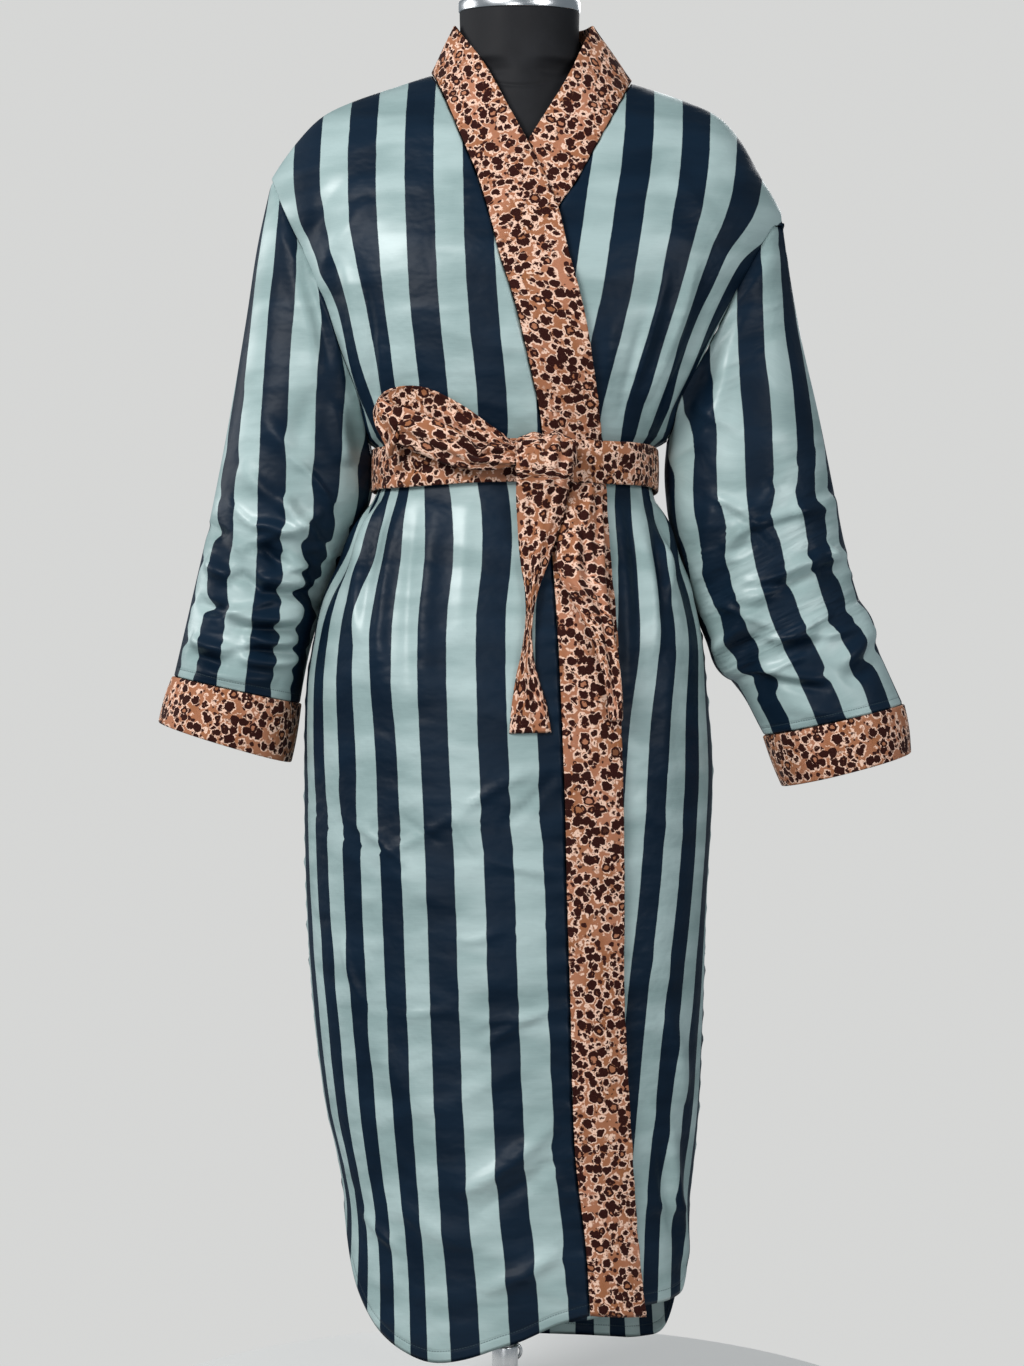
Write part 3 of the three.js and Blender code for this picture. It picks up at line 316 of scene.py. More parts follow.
neck_centre = 14.0
neck_top = 1368.0
rim_tilt = 0.15
form_rings = table("z centre half front back power tilt", [
    (640, 2, 140, 84, 92, 2.2, 0), (646, 2, 152, 92, 100, 2.2, 0), (665, 2, 162, 98, 110, 2.2, 0),
    (700, 3, 169, 103, 118, 2.2, 0), (745, 4, 168, 103, 118, 2.2, 0), (795, 5, 156, 98, 106, 2.2, 0),
    (845, 7, 135, 88, 90, 2.2, 0), (890, 8, 121, 84, 83, 2.2, 0), (928, 9, 117, 84, 82, 2.2, 0),
    (965, 9, 120, 88, 84, 2.2, 0), (1010, 10, 129, 100, 90, 2.2, 0), (1055, 12, 138, 111, 95, 2.2, 0),
    (1095, 13, 145, 112, 98, 2.2, 0), (1135, 14, 152, 104, 98, 2.1, 0), (1175, 14, 160, 93, 94, 2, 0),
    (1210, 14, 167, 81, 88, 1.9, 0), (1236, 14, 172, 71, 81, 1.7, 0), (1256, 14, 173, 64, 73, 1.45, 0),
    (1269, 14, 169, 60.3, 66, 1.25, 0), (1278.8, 14, 162, 59, 61, 1.12, 0),
    (1286.7, 14, 138.5, 58.4, 59, 1.1, 0), (1294.7, 14, 115, 57.9, 58, 1.12, 0),
    (1301, 14, 86, 57.7, 57.5, 1.18, 0), (1308, 14, 68, 57.6, 57.5, 1.5, 0),
    (1317, 14, 62, 57.5, 57.5, 2, 0.03), (1334, 14, 57.5, 57.5, 57.5, 2, 0.08),
    (1368, 14, 57.5, 57.5, 57.5, 2, 0.15),
])


def form_surface(height, angle):
    """Rings of the form. Each is a superellipse of its own power, rounded off in front and behind, and
    leans by its tilt. A seam 3 mm wide sinks 1.4 mm into the neck's root, lower in front than beside it."""
    ring = {name: read(form_rings, "z", name, height) for name in form_rings}
    forward = signed_power(np.sin(angle), 2 / ring["power"])
    across = signed_power(np.cos(angle), 2 / ring["power"])
    aside = np.minimum(np.abs(ring["half"] * across) / 60, 1)
    seam = 1 - 0.025 * np.exp(-((height - 1285 - 26 * aside ** 2) / 1.6) ** 2)
    near = np.abs(forward)
    soft = np.sign(forward) * (1 - np.hypot(1 - near, 0.04) + 0.04 * near)
    y = -np.where(forward > 0, ring["front"], ring["back"]) * soft * seam
    x = ring["centre"] + ring["half"] * across * seam
    return np.stack([x, y, height + ring["tilt"] * y], axis=2)


form_heights = np.concatenate([np.linspace(640, 1250, 90), np.linspace(1252, neck_top, 90)])
form_points = form_surface(form_heights[:, None], np.linspace(0.0, 2 * np.pi, 145)[None, :])
form_bottom = form_points[:1] * (0, 0, 1) + (2, 0, 0)
form_lid = form_points[-1:] * (0, 0, 0) + (neck_centre, 0, neck_top)
form_points = np.concatenate([form_bottom, form_points, form_lid])
form = grid_mesh("form_body", form_points, jersey_finish())
cap = turned("form_cap", [
    (0, neck_top + 24), (4.6, neck_top + 24), (6, neck_top + 23.2), (6.6, neck_top + 21.6),
    (8, neck_top + 21), (24, neck_top + 20.2), (38, neck_top + 17.6), (48, neck_top + 14.4),
    (54, neck_top + 12.2), (56.6, neck_top + 11.4), (58.1, neck_top + 10.4), (58.5, neck_top + 9),
    (58.5, neck_top + 1.2), (58.1, neck_top + 0.5), (57.2, neck_top + 0.3), (0, neck_top + 0.3),
], chrome, 128, rim_tilt, neck_centre)
for piece, node, slot in ((form, "form_torso", "form_cloth"), (cap, "neck_cap", "chrome")):
    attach(piece, "root")
    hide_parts(node)


# Back of the robe: one width of satin woven in navy and sage stripes, cut with a shaped hem.
# It is sewn to the fronts along the shoulders and sides, and the belt gathers it at the waist.
def satin_finish():
    """Striped satin. A stripe is 27 mm wide; u runs across the stripes in metres and v along them.
    Its weave is a fine rib. Pressing leaves broad waves, along which both stripes are painted paler as a
    painted sheen, and the sage stripes are shinier.
    Its second map holds the run along the hem and the height above it, for a row of stitches at 11 mm."""
    stripe = 0.027
    stitch_height = 0.011
    stitch_pitch = 0.0026
    finish = Finish("striped_satin")
    cloth = finish.place("cloth")
    parts = finish.add("ShaderNodeSeparateXYZ", {}, {"Vector": cloth})
    across = parts["X"]
    wander = finish.grain(finish.stretched(cloth, (30.0, 60.0, 1.0)), 1.0, 2.0)
    place_in_pair = (across + (wander - 0.5) * 0.0012) / (2 * stripe) - 0.25
    from_navy = place_in_pair.ping(0.5)
    sage_share = from_navy.rises(0.243, 0.257)
    clouds = finish.grain(finish.stretched(cloth, (9.0, 4.0, 1.0)), 1.0, 4.0)
    slubs = finish.grain(finish.stretched(cloth, (60.0, 900.0, 1.0)), 1.0, 3.0)
    presses = finish.grain(finish.stretched(cloth, (8.0, 28.0, 1.0)), 1.0, 2.0, 0.45)
    # Random clouds and slubs of tone, plus a painted sheen: the base colour is painted paler along the
    # pressing waves.
    tone_and_painted_sheen = clouds * 0.3 + slubs * 0.2 + presses.rises(0.32, 0.68) * 0.5
    navy = finish.blend(tone_and_painted_sheen, (0.0015, 0.007, 0.016, 1.0), (0.006, 0.0175, 0.035, 1.0))
    sage = finish.blend(tone_and_painted_sheen, (0.19, 0.275, 0.27, 1.0), (0.445, 0.56, 0.55, 1.0))
    tone = finish.blend(sage_share, navy, sage)
    seam = finish.add("ShaderNodeSeparateXYZ", {}, {"Vector": finish.place("edge")})
    off_line = (seam["Y"] - stitch_height).size()
    dashes = (seam["X"] / stitch_pitch).ping(0.5).rises(0.08, 0.2)
    stitch = (1 - off_line.rises(0.0002, 0.0007)) * dashes
    gutter = 1 - off_line.rises(0.0004, 0.0026)
    tone = finish.blend(stitch * 0.55, tone, (0.03, 0.05, 0.06, 1.0))
    weave = finish.grain(finish.stretched(cloth, (2600.0, 900.0, 1.0)), 1.0, 2.0)
    crinkle = finish.grain(finish.stretched(cloth, (40.0, 60.0, 1.0)), 1.0, 2.0, 0.5)
    normal = finish.relief(weave, 0.0001, 0.18)
    normal = finish.relief(presses + crinkle * 0.28, 0.0075, 0.7, normal)
    normal = finish.relief(stitch * 0.6 - gutter, 0.0005, 0.8, normal)
    gloss = 0.33 + clouds * 0.16 + slubs * 0.06
    shine = sage_share * (0.05 + presses.rises(0.42, 0.62) * 0.7)
    return finish.close(Base_Color=tone, Roughness=gloss, Normal=normal, Specular_IOR_Level=0.12,
                        Coat_Weight=shine, Coat_Roughness=0.36)


def gradient_normals(points, around=False):
    """Unit vectors square to a grid of points, from the differences along its rows and its columns."""
    if around:
        wide = np.concatenate([points[:, -3:-1], points[:, :-1], points[:, :2]], axis=1)
        across = np.gradient(wide, axis=1)[:, 2:-1]
    else:
        across = np.gradient(points, axis=1)
    normals = np.cross(across, np.gradient(points, axis=0))
    length = np.linalg.norm(normals, axis=2, keepdims=True)
    return normals / np.maximum(length, 1e-9)


def facing(normals, row, column, way):
    """The same vectors, or their opposites, so that the one at a row and column leans the given way."""
    return normals if np.dot(normals[row, column], way) > 0 else -normals


def border_distance(points, axis):
    """How far each point lies from the nearer end of its own line of points."""
    steps = np.linalg.norm(np.diff(points, axis=axis), axis=2)
    start = np.cumsum(steps, axis=axis)
    pad = [(0, 0), (0, 0)]
    pad[axis] = (1, 0)
    start = np.pad(start, pad)
    total = np.take(start, [-1], axis=axis)
    return np.minimum(start, total - start)


def cloth(name, outer, normals, thickness, maps, finish, around=False, slot="striped_satin", nodes=()):
    """A closed piece of cloth. Its outer face goes through the points, its inner face lies a thickness
    behind, and both round off along each border: t(d) = T (1 - (1 - d / r)^2)^0.5 with r = T / 2."""
    near = border_distance(outer, 0)
    if not around:
        near = np.minimum(near, border_distance(outer, 1))
    left = 1 - np.clip(near / (thickness / 2), 0.0, 1.0)
    half = 0.5 * thickness * np.sqrt(1 - left ** 2)[..., None]
    middle = outer - normals * thickness / 2
    points = np.concatenate([middle + normals * half, middle - normals * half]).reshape(-1, 3)
    rows, columns = outer.shape[:2]
    top = np.arange(rows * columns).reshape(rows, columns)
    faces = corners(top)
    face_way = np.cross(outer[:-1, 1:] - outer[:-1, :-1], outer[1:, :-1] - outer[:-1, :-1])
    if np.sum(face_way * normals[:-1, :-1]) < 0:
        order = [0, 3, 2, 1]
    else:
        order = [0, 1, 2, 3]
    front = faces[..., order].reshape(-1, 4)
    back = (faces[..., order[::-1]] + rows * columns).reshape(-1, 4)
    places = {}
    for layer, grid in maps.items():
        flat = corners(grid)
        both = [flat[:, :, order].reshape(-1, 4, 2), flat[:, :, order[::-1]].reshape(-1, 4, 2)]
        places[layer] = np.concatenate(both) * millimetre
    piece = mesh_of(name, points, np.concatenate([front, back]), places, finish)
    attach(piece, "root")
    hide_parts(*nodes)
    return piece


def clustered(count, fine, length):
    """Shares from 0 to 1 in even steps, with four more close to each end so that an edge can be round."""
    near = np.array([0.0, 0.12, 0.45, 1.0]) * fine / length
    even = np.linspace(2.4 * fine / length, 1 - 2.4 * fine / length, count)
    return np.concatenate([near, even, 1 - near[::-1]])


def ease(low, high, value):
    """0 below low, 1 above high, and an even S-curve between."""
    t = np.clip((value - low) / (high - low), 0.0, 1.0)
    return t * t * (3 - 2 * t)


satin_thickness = 1.5
plush_thickness = 3.0
seam_gap = 0.3
overlap_lift = 5.0
underarm = 957.0
waist = 928.0
roundness = 2.3
body_rings = table("z centre right left front back", [
    (60, 4, 160, 172, 112, 112), (150, 4, 162, 172, 116, 112), (230, 4, 158, 173, 118, 113),
    (277, 4, 165, 178, 120, 114), (325, 4, 176, 182, 121, 115), (421, 4, 188, 186, 123, 117),
    (517, 4, 194, 189, 125, 119), (640, 4, 196, 195, 127, 124), (723, 4, 194, 189, 127, 126),
    (767, 5, 188, 184, 124, 123), (804, 6, 180, 174, 119, 117), (837, 7, 165, 162, 112, 108),
    (865, 8, 155, 148, 106, 101), (907, 9, 131.5, 132.5, 99, 94), (928, 9, 132, 133, 99, 94),
    (949, 9, 132, 132.8, 99, 94), (957, 9, 141, 146, 102, 96), (993, 10, 158, 166, 112, 102),
    (1033, 11, 176, 187, 122, 108), (1080, 12, 195, 213, 129, 112), (1128, 14, 216, 236, 130, 113),
    (1175, 14, 240, 262, 126, 111), (1210, 14, 252, 268, 120, 108), (1330, 14, 256, 270, 112, 104),
])
right_shoulder = table("out z", [
    (0, 1318), (60, 1313), (84, 1307), (115, 1297), (162, 1281), (191, 1266), (215, 1241), (238, 1208),
    (270, 1150),
])
left_shoulder = table("out z", [
    (0, 1318), (60, 1313), (84, 1307), (115, 1297), (162, 1281), (191, 1267), (212, 1244), (229, 1214),
    (251, 1176), (280, 1110),
])
right_armhole = table("z x", [
    (957, -131.5), (977, -136), (1027, -151), (1083, -168), (1126, -187), (1170, -208), (1208, -224),
])
left_armhole = table("z x", [(957, 155), (993, 169), (1033, 190), (1087, 215), (1128, 237), (1176, 265)])


def shoulder_height(x):
    """Height of the shoulder seam above a point of the front view."""
    out = np.abs(x - neck_centre)
    right = read(right_shoulder, "out", "z", out)
    left = read(left_shoulder, "out", "z", out)
    return np.where(x < neck_centre, right, left)


def half_width(x, z):
    """The body's reach to the side on which x lies."""
    right = x < read(body_rings, "z", "centre", z)
    return np.where(right, read(body_rings, "z", "right", z), read(body_rings, "z", "left", z))


def turn_at(x, z):
    """The turn about the body at which its outline stands at x: sin(turn) = (out / reach)^(n / 2)."""
    out = x - read(body_rings, "z", "centre", z)
    ratio = np.minimum(1.0, np.abs(out) / half_width(x, z))
    return np.sign(out) * np.arcsin(ratio ** (roundness / 2))


def x_at_turn(turn, z):
    """The other way about: x = centre + reach sin(turn)^(2 / n)."""
    reach = np.where(turn < 0, read(body_rings, "z", "right", z), read(body_rings, "z", "left", z))
    return read(body_rings, "z", "centre", z) + reach * signed_power(np.sin(turn), 2 / roundness)


def body_depth(face, x, z):
    """Depth of the body's front or back: d (1 - ratio^n)^(1/n) round it, times (1 - rise^c)^(1/c) over
    the shoulders, where rise is the share of the way from the underarm to the shoulder seam."""
    ratio = np.minimum(1.0, np.abs(x - read(body_rings, "z", "centre", z)) / half_width(x, z))
    rise = np.clip((z - underarm) / (shoulder_height(x) - underarm), 0.0, 1.0)
    crown = 2.0 if face == "front" else 3.0
    level = (1 - ratio ** roundness) ** (1 / roundness)
    return read(body_rings, "z", face, z) * level * (1 - rise ** crown) ** (1 / crown)


def gather(face, turn, z):
    """Even gathers over and under the belt, 9 to half the body and 3.5 mm deep. There are none behind the
    belt itself, in the middle of the front, or beyond 174 mm."""
    away = np.abs(z - waist)
    height = ease(24, 59, away) * (1 - ease(69, 174, away))
    about = np.abs(turn) if face == "front" else np.pi - np.abs(turn)
    return 3.5 * height * ease(0.75, 1.2, about) * np.cos(18 * about)


def folds(x, z, rows):
    """Creases listed in the front view. Each runs from one point to another, bowed to a side by its
    bow, and adds depth exp(-(off / width)^2), eased out to nothing at both of its ends."""
    total = np.zeros_like(x)
    for x0, z0, x1, z1, width, depth, bow in rows:
        length = np.hypot(x1 - x0, z1 - z0)
        along = ((x - x0) * (x1 - x0) + (z - z0) * (z1 - z0)) / length ** 2
        off = ((x - x0) * (z1 - z0) - (z - z0) * (x1 - x0)) / length - bow * 4 * along * (1 - along)
        ends = np.clip(1 - (2 * along - 1) ** 2, 0.0, 1.0) ** 0.7
        total += depth * ends * np.exp(-(off / width) ** 2)
    return total


def ripples(near, length, seed, reach, deep, pitch):
    """Puckers along a seam: uneven waves of about a pitch, deepest at the seam and gone at the reach."""
    wave = np.sin(2 * np.pi * length / pitch + 1.7 * np.sin(length / (2.3 * pitch) + seed))
    wave = wave * (0.65 + 0.35 * np.sin(length / (3.1 * pitch) + 2 * seed))
    wave = wave + 0.5 * np.sin(2 * np.pi * length / (1.618 * pitch) + 3 * seed)
    return deep * wave * np.clip(1 - near / reach, 0.0, 1.0) ** 1.5


def shoulder_shares(rows):
    """Shares of the rise from the underarm to the shoulder, closer together near the shoulder."""
    return np.sin(np.linspace(0.0, np.pi / 2, rows + 1))


def panel(turns, hem, top, low_rows, high_rows, across):
    """A panel's points in the front view, found by passes: its turn gives x, and x the shoulder's height.
    Rows rise evenly from the hem to the underarm and then by shares of the rise to the shoulder."""
    rise = np.concatenate([np.zeros(low_rows), shoulder_shares(high_rows)[1:]])[:, None] + 0.0 * across
    height = np.concatenate([np.linspace(0.0, 1.0, low_rows), np.ones(high_rows)])[:, None]
    hem_height = read(hem, "across", "z", across)
    low = hem_height + (underarm - hem_height) * height
    z = np.where(rise > 0, 1150.0, low)
    for _ in range(14):
        x = x_at_turn(turns(across, z, rise > 0), z)
        z = np.where(rise > 0, underarm + rise * top(x) * (shoulder_height(x) - underarm), low)
    return x, z


def dress(face, x, z, lift, crease):
    """A panel's points on the body, moved out by the gathers, the layer's lift and the creases."""
    depth = body_depth(face, x, z)
    sign = -1.0 if face == "front" else 1.0
    points = np.stack([x, sign * depth, z], axis=2)
    normals = facing(gradient_normals(points), len(points) // 3, points.shape[1] // 2, (0, sign, 0))
    out = gather(face, turn_at(x, z), z) + lift + crease
    points = points + normals * out[..., None]
    points[..., 1] += sign * seam_gap / 2
    return points, normals


def at_crossing(gap, run):
    """For each row, the run at which its gap changes sign, on a straight line between two neighbours."""
    flips = (gap[:, 1:] > 0) != (gap[:, :-1] > 0)
    first = flips.argmax(axis=1)
    rows = np.arange(len(gap))
    before, after = gap[rows, first], gap[rows, first + 1]
    start, end = run[rows, first], run[rows, first + 1]
    return (start + (end - start) * before / (before - after))[:, None]


def across_stripes(points, x, z, grain, fullness):
    """How far each point lies from the grain line, measured along the cloth of its own row.
    Where the cloth is gathered it holds more width than the body shows, so its length is counted up."""
    steps = np.hypot(np.diff(points[..., 0], axis=1), np.diff(points[..., 1], axis=1))
    middle_z = (z[:, 1:] + z[:, :-1]) / 2
    turn = np.abs(turn_at((x[:, 1:] + x[:, :-1]) / 2, middle_z))
    onset = 0.25 + 0.2 * ease(650, 800, middle_z)
    steps = steps * (1 + read(fullness, "z", "full", middle_z) * ease(onset, 2 * onset, turn))
    run = np.pad(np.cumsum(steps, axis=1), ((0, 0), (1, 0)))
    return run - at_crossing(x - read(grain, "z", "x", z), run)


stripe_fullness = table("z full", [
    (60, 0.6), (162, 0.7), (254, 0.5), (346, 0.42), (528, 0.3), (691, 0.28), (764, 0.4), (810, 0.6),
    (837, 0.8), (893, 1.1), (928, 1.1), (960, 0.9), (1002, 0.55), (1073, 0.5), (1110, 0.25), (1165, 0),
    (1330, 0),
])
under_fullness = table("z full", [
    (60, 0.5), (254, 0.45), (346, 0.35), (528, 0.22), (691, 0.25), (837, 0.4), (893, 0.45), (928, 0.6),
    (960, 0.75), (1002, 0.65), (1073, 0.7), (1129, 0.5), (1165, 0.2), (1330, 0),
])
neck_right = -70.0
neck_left = 122.0
neck_dip = 0.922
satin = satin_finish()
back_hem = table("across z", [
    (0, 228), (0.1, 186), (0.2, 128), (0.33, 80), (0.5, 72), (0.67, 78), (0.78, 95), (0.88, 150),
    (0.95, 200), (1, 232),
])
back_grain = table("z x", [(60, 18), (1330, 18)])
neck_from = 11 / 28
back_low_rows = 210
back_high_rows = 90


def back_turns(across, z, risen):
    """Two of the back's columns run straight up to the sides of the neck, the others evenly between them
    and beside them."""
    right = turn_at(neck_right + 0 * z, z)
    left = turn_at(neck_left + 0 * z, z)
    start = np.where(risen, turn_at(read(right_armhole, "z", "x", z), z), -np.pi / 2)
    end = np.where(risen, turn_at(read(left_armhole, "z", "x", z), z), np.pi / 2)
    beside = start + (right - start) * np.minimum(1.0, across / neck_from)
    far = left + (end - left) * np.maximum(0.0, (across - 1 + neck_from) / neck_from)
    middle = right + (left - right) * (across - neck_from) / (1 - 2 * neck_from)
    return np.where(across < neck_from, beside, np.where(across > 1 - neck_from, far, middle))


def back_top(x):
    """The neckline dips between the two sides of the neck."""
    out = np.minimum(1.0, np.abs(2 * x - neck_right - neck_left) / (neck_left - neck_right))
    return neck_dip + (1 - neck_dip) * out ** 2


def hem_map(points, z, hem_height):
    """The place along the hem, and the height above it, for the stitching."""
    steps = np.linalg.norm(np.diff(points[0], axis=0), axis=1)
    along = np.concatenate([[0.0], np.cumsum(steps)])
    return np.stack([along + 0 * z, z - hem_height], axis=2)


back_across = np.linspace(0.0, 1.0, 141)[None, :]
back_x, back_z = panel(back_turns, back_hem, back_top, back_low_rows, back_high_rows, back_across)
back_folds = [
    (-60, 900, -95, 640, 14, 5.2, 10), (-20, 900, -34, 560, 15, 5.9, -8), (22, 900, 30, 610, 13, 4.5, 6),
    (70, 900, 96, 600, 16, 5.9, -8), (120, 890, 150, 700, 12, 4.5, 6),
    (-118, 890, -150, 720, 12, 3.9, -6), (-40, 905, -62, 700, 9, -3.9, 4),
    (46, 905, 62, 680, 9, -3.9, -4), (96, 900, 122, 720, 8, -3.2, 0), (-92, 1150, 96, 1140, 22, -3.9, 14),
    (-150, 1060, -40, 1010, 14, 3.9, 10), (160, 1065, 50, 1012, 14, 3.9, -10),
    (-60, 955, -90, 1060, 11, 3.9, 4), (-10, 955, -20, 1080, 12, 4.5, -5),
    (44, 955, 60, 1060, 11, 3.9, 4), (-120, 420, -30, 380, 16, 3.2, 8), (30, 300, 130, 350, 16, 3.2, -8),
    (-80, 240, 20, 200, 14, 2.6, 6), (0, 480, 14, 120, 34, 5.2, 8), (-90, 520, -100, 160, 26, 4.5, -6),
    (96, 520, 104, 150, 26, 4.5, 6),
]
back_width = 420.0
side_near = np.minimum(back_across, 1 - back_across) * back_width
back_crease = folds(back_x, back_z, back_folds) * ease(0, 40, side_near)
back_crease = back_crease + ripples(side_near, back_z, 0.4, 22, 1.2, 19)
back_points, back_normals = dress("back", back_x, back_z, 0.0, back_crease)
back_u = across_stripes(back_points, back_x, back_z, back_grain, stripe_fullness)
back_maps = {
    "cloth": np.stack([back_u, back_z], axis=2),
    "edge": hem_map(back_points, back_z, read(back_hem, "across", "z", back_across)),
}
back = cloth("back_panel", back_points, back_normals, satin_thickness, back_maps, satin, nodes=("back",))


# Fronts: two widths of the same satin. The wearer's right one laps over the left one.
# Each is cut away in front along its neckband, sewn to the back, and gathered by the belt at the sides.
over_seam = table("z x", [
    (146, 77), (209, 73), (300, 63), (437, 59), (528, 56), (619, 54), (764, 48), (837, 43), (966, 33),
    (1037, 18), (1073, 9), (1111, -3), (1150, -13), (1191, -25), (1233, -41), (1278, -58), (1307, -70),
])
under_seam = table("z x", [
    (138, -38), (300, -38), (528, -36), (764, -28), (966, -8), (1073, 15), (1111, 28), (1163, 50),
    (1188, 66), (1225, 85), (1262, 104), (1300, 122),
])
over_hem = table("across z", [
    (0, 146), (0.1, 137), (0.2, 120), (0.3, 107), (0.4, 103), (0.5, 112), (0.6, 129), (0.7, 156),
    (0.8, 186), (0.9, 213), (1, 228),
])
under_hem = table("across z", [
    (0, 138), (0.3, 140), (0.5, 148), (0.75, 150), (0.85, 158), (0.93, 190), (1, 232),
])
over_grain = table("z x", [
    (60, -46), (162, -51), (254, -58.5), (346, -63.5), (437, -67), (528, -69.8), (619, -73.5), (691, -77),
    (728, -78), (782, -77), (837, -71.6), (893, -72), (930, -72.5), (968, -74), (1002, -77), (1073, -85),
    (1110, -87.5), (1188, -91.5), (1229, -92), (1330, -92),
])
under_grain = table("z x", [
    (60, 48), (162, 52), (254, 56), (346, 62), (437, 70), (528, 81), (619, 88), (691, 94), (764, 103),
    (838, 104), (893, 102), (968, 110), (1002, 118), (1075, 139), (1112, 147), (1150, 154), (1189, 161),
    (1229, 166), (1330, 172),
])


def over_lift(x, z):
    """The overlapping layer stands 5 mm off the body in front, and comes down to it at its side seam and
    at its shoulder."""
    turn = np.abs(turn_at(x, z))
    right = x < read(body_rings, "z", "centre", z)
    side = np.where(right, 1 - ease(0.6, 1.4, turn), 1.0)
    rise = (z - underarm) / (shoulder_height(x) - underarm)
    return overlap_lift * side * (1 - ease(0.78, 0.98, rise))


def front_turns(seam, armhole, side):
    """From the neckband's seam to the side seam, or above the underarm to the armhole."""
    def turns(across, z, risen):
        start = turn_at(read(seam, "z", "x", z), z)
        end = np.where(risen, turn_at(read(armhole, "z", "x", z), z), side * np.pi / 2)
        return start + (end - start) * across
    return turns


def front_top(x):
    """The fronts reach up to the shoulder seam everywhere."""
    return 1.0


front_low_rows = 220
front_high_rows = 100
front_across = np.linspace(0.0, 1.0, 101)[None, :]
front_width = 330.0
band_near = front_across * front_width
side_seam_near = (1 - front_across) * front_width
over_turns = front_turns(over_seam, right_armhole, -1.0)
over_x, over_z = panel(over_turns, over_hem, front_top, front_low_rows, front_high_rows, front_across)
over_folds = [
    (-44, 1188, -14, 1185, 3, 1.6, 1), (-40, 1163, -14, 1178, 5, 1.9, -2),
    (-60, 1140, 4, 1128, 26, 3.4, 6), (-120, 1170, -176, 1090, 9, 3.4, 6),
    (-140, 1200, -190, 1130, 8, -2.7, 4), (-150, 1120, -128, 985, 6, 4.1, -4),
    (-132, 1110, -116, 980, 5, -2.7, -4), (-116, 1050, -104, 960, 5, 3, 0),
    (-98, 1030, -90, 960, 6, 2.4, 3), (-60, 1050, 10, 1035, 16, 2.2, 4), (-30, 985, 20, 970, 5, 1.9, -2),
    (4, 966, 26, 968, 4, 1.6, 0), (-118, 895, -134, 760, 7, 5.4, 8), (-104, 893, -128, 770, 5, -3.4, 6),
    (-92, 893, -112, 740, 6, 3.8, 6), (-78, 893, -88, 720, 6, -2.7, 4), (-60, 893, -72, 700, 9, 3.2, 5),
    (-34, 893, -40, 760, 7, 2, 0), (-140, 800, -100, 690, 12, 2.7, -8),
    (-150, 640, -90, 560, 13.8, 3.8, 6), (-110, 560, -40, 520, 11.5, 2.5, 4),
    (-30, 640, 40, 610, 13.8, 2.7, 5), (-60, 470, 30, 440, 16.1, 3.2, -6),
    (-130, 420, -60, 330, 13.8, 4.2, 8), (-45, 258, 46, 326, 8, 7.5, 5), (-30, 240, 50, 296, 7, -5, 4),
    (-22, 172, 50, 208, 8, 7, 4), (-60, 330, 30, 380, 10.3, 3.4, -5), (-100, 250, -20, 210, 9.2, 3.4, 5),
    (-133, 238, -88, 200, 4.6, 3.8, 2), (0, 300, 60, 250, 9.2, 2.9, -4), (10, 190, 66, 160, 6.9, 3.4, 3),
    (-20, 700, 36, 690, 9, 1.6, 3), (-120, 564, -44, 606, 3.8, 3.6, 3),
    (-97, 606, -51, 576, 3.4, -2.6, 2), (-150, 606, -82, 553, 4, 3.2, -4),
    (-47, 610, -21, 568, 3.6, 3.2, 2), (-40, 606, 25, 644, 4, 4, -4), (-6, 591, 48, 646, 4, -3.4, 3),
    (-21, 568, 46, 553, 4, 3.6, 3), (-146, 491, -127, 430, 4.2, 3.8, 4), (-32, 411, 32, 422, 4, 3.6, -3),
    (-21, 392, 50, 430, 4.2, 4.2, -5), (-44, 491, 2, 502, 4, 3.4, 3), (-104, 422, -44, 430, 4, 3, 3),
]
band_puckers = ripples(band_near, over_z, 1.1, 30, 1.3, 21) * (1 - ease(880, 960, over_z))
over_puckers = ripples(side_seam_near, over_z, 2.6, 26, 1.5, 19) * (1 - ease(860, 940, over_z))
over_crease = folds(over_x, over_z, over_folds) + band_puckers + over_puckers
over_points, over_normals = dress("front", over_x, over_z, over_lift(over_x, over_z), over_crease)
over_u = -across_stripes(over_points, over_x, over_z, over_grain, stripe_fullness)
over_maps = {
    "cloth": np.stack([over_u, over_z], axis=2),
    "edge": hem_map(over_points, over_z, read(over_hem, "across", "z", front_across)),
}
over_front = cloth("front_over", over_points, over_normals, satin_thickness, over_maps, satin,
                   nodes=("front_right",))

under_turns = front_turns(under_seam, left_armhole, 1.0)
under_x, under_z = panel(under_turns, under_hem, front_top, front_low_rows, front_high_rows, front_across)
under_folds = [
    (150, 1205, 205, 1150, 10, 2.6, 5), (120, 1150, 190, 1120, 12, 2.1, -5),
    (178, 1120, 128, 985, 6, 4.4, -6), (190, 1090, 148, 985, 5, -3.1, -4),
    (150, 1110, 112, 985, 6, 3.4, -3), (166, 1040, 134, 962, 5, 3.9, 3),
    (128, 1060, 104, 965, 5, -2.1, 0), (100, 1060, 92, 970, 7, 2.1, 2), (140, 898, 150, 800, 6, 5.5, -7),
    (152, 906, 170, 852, 3.5, 5.2, 3), (160, 884, 176, 826, 3.5, -4.7, 3),
    (158, 868, 182, 806, 4, 4.4, -3), (130, 896, 146, 780, 4, -3.4, -6), (122, 896, 140, 750, 6, 3.9, -5),
    (112, 896, 124, 760, 5, -2.3, -4), (104, 893, 112, 720, 6, 2.6, -3), (160, 760, 150, 640, 8, 2.6, 6),
    (120, 620, 170, 580, 10, 2.2, 4), (125, 480, 160, 440, 10, 2.2, -4), (130, 340, 165, 300, 8, 2.2, 4),
    (128, 250, 170, 232, 6, 2.9, 3), (156, 310, 172, 176, 6, 7.2, 4), (144, 300, 166, 190, 5, -3.5, 4),
    (150, 420, 168, 330, 7, 4.8, -4),
]
under_shown = ease(0.0, 20.0, under_x - read(over_seam, "z", "x", under_z) - 44)
under_puckers = ripples(side_seam_near, under_z, 0.9, 26, 1.5, 20) * (1 - ease(860, 940, under_z))
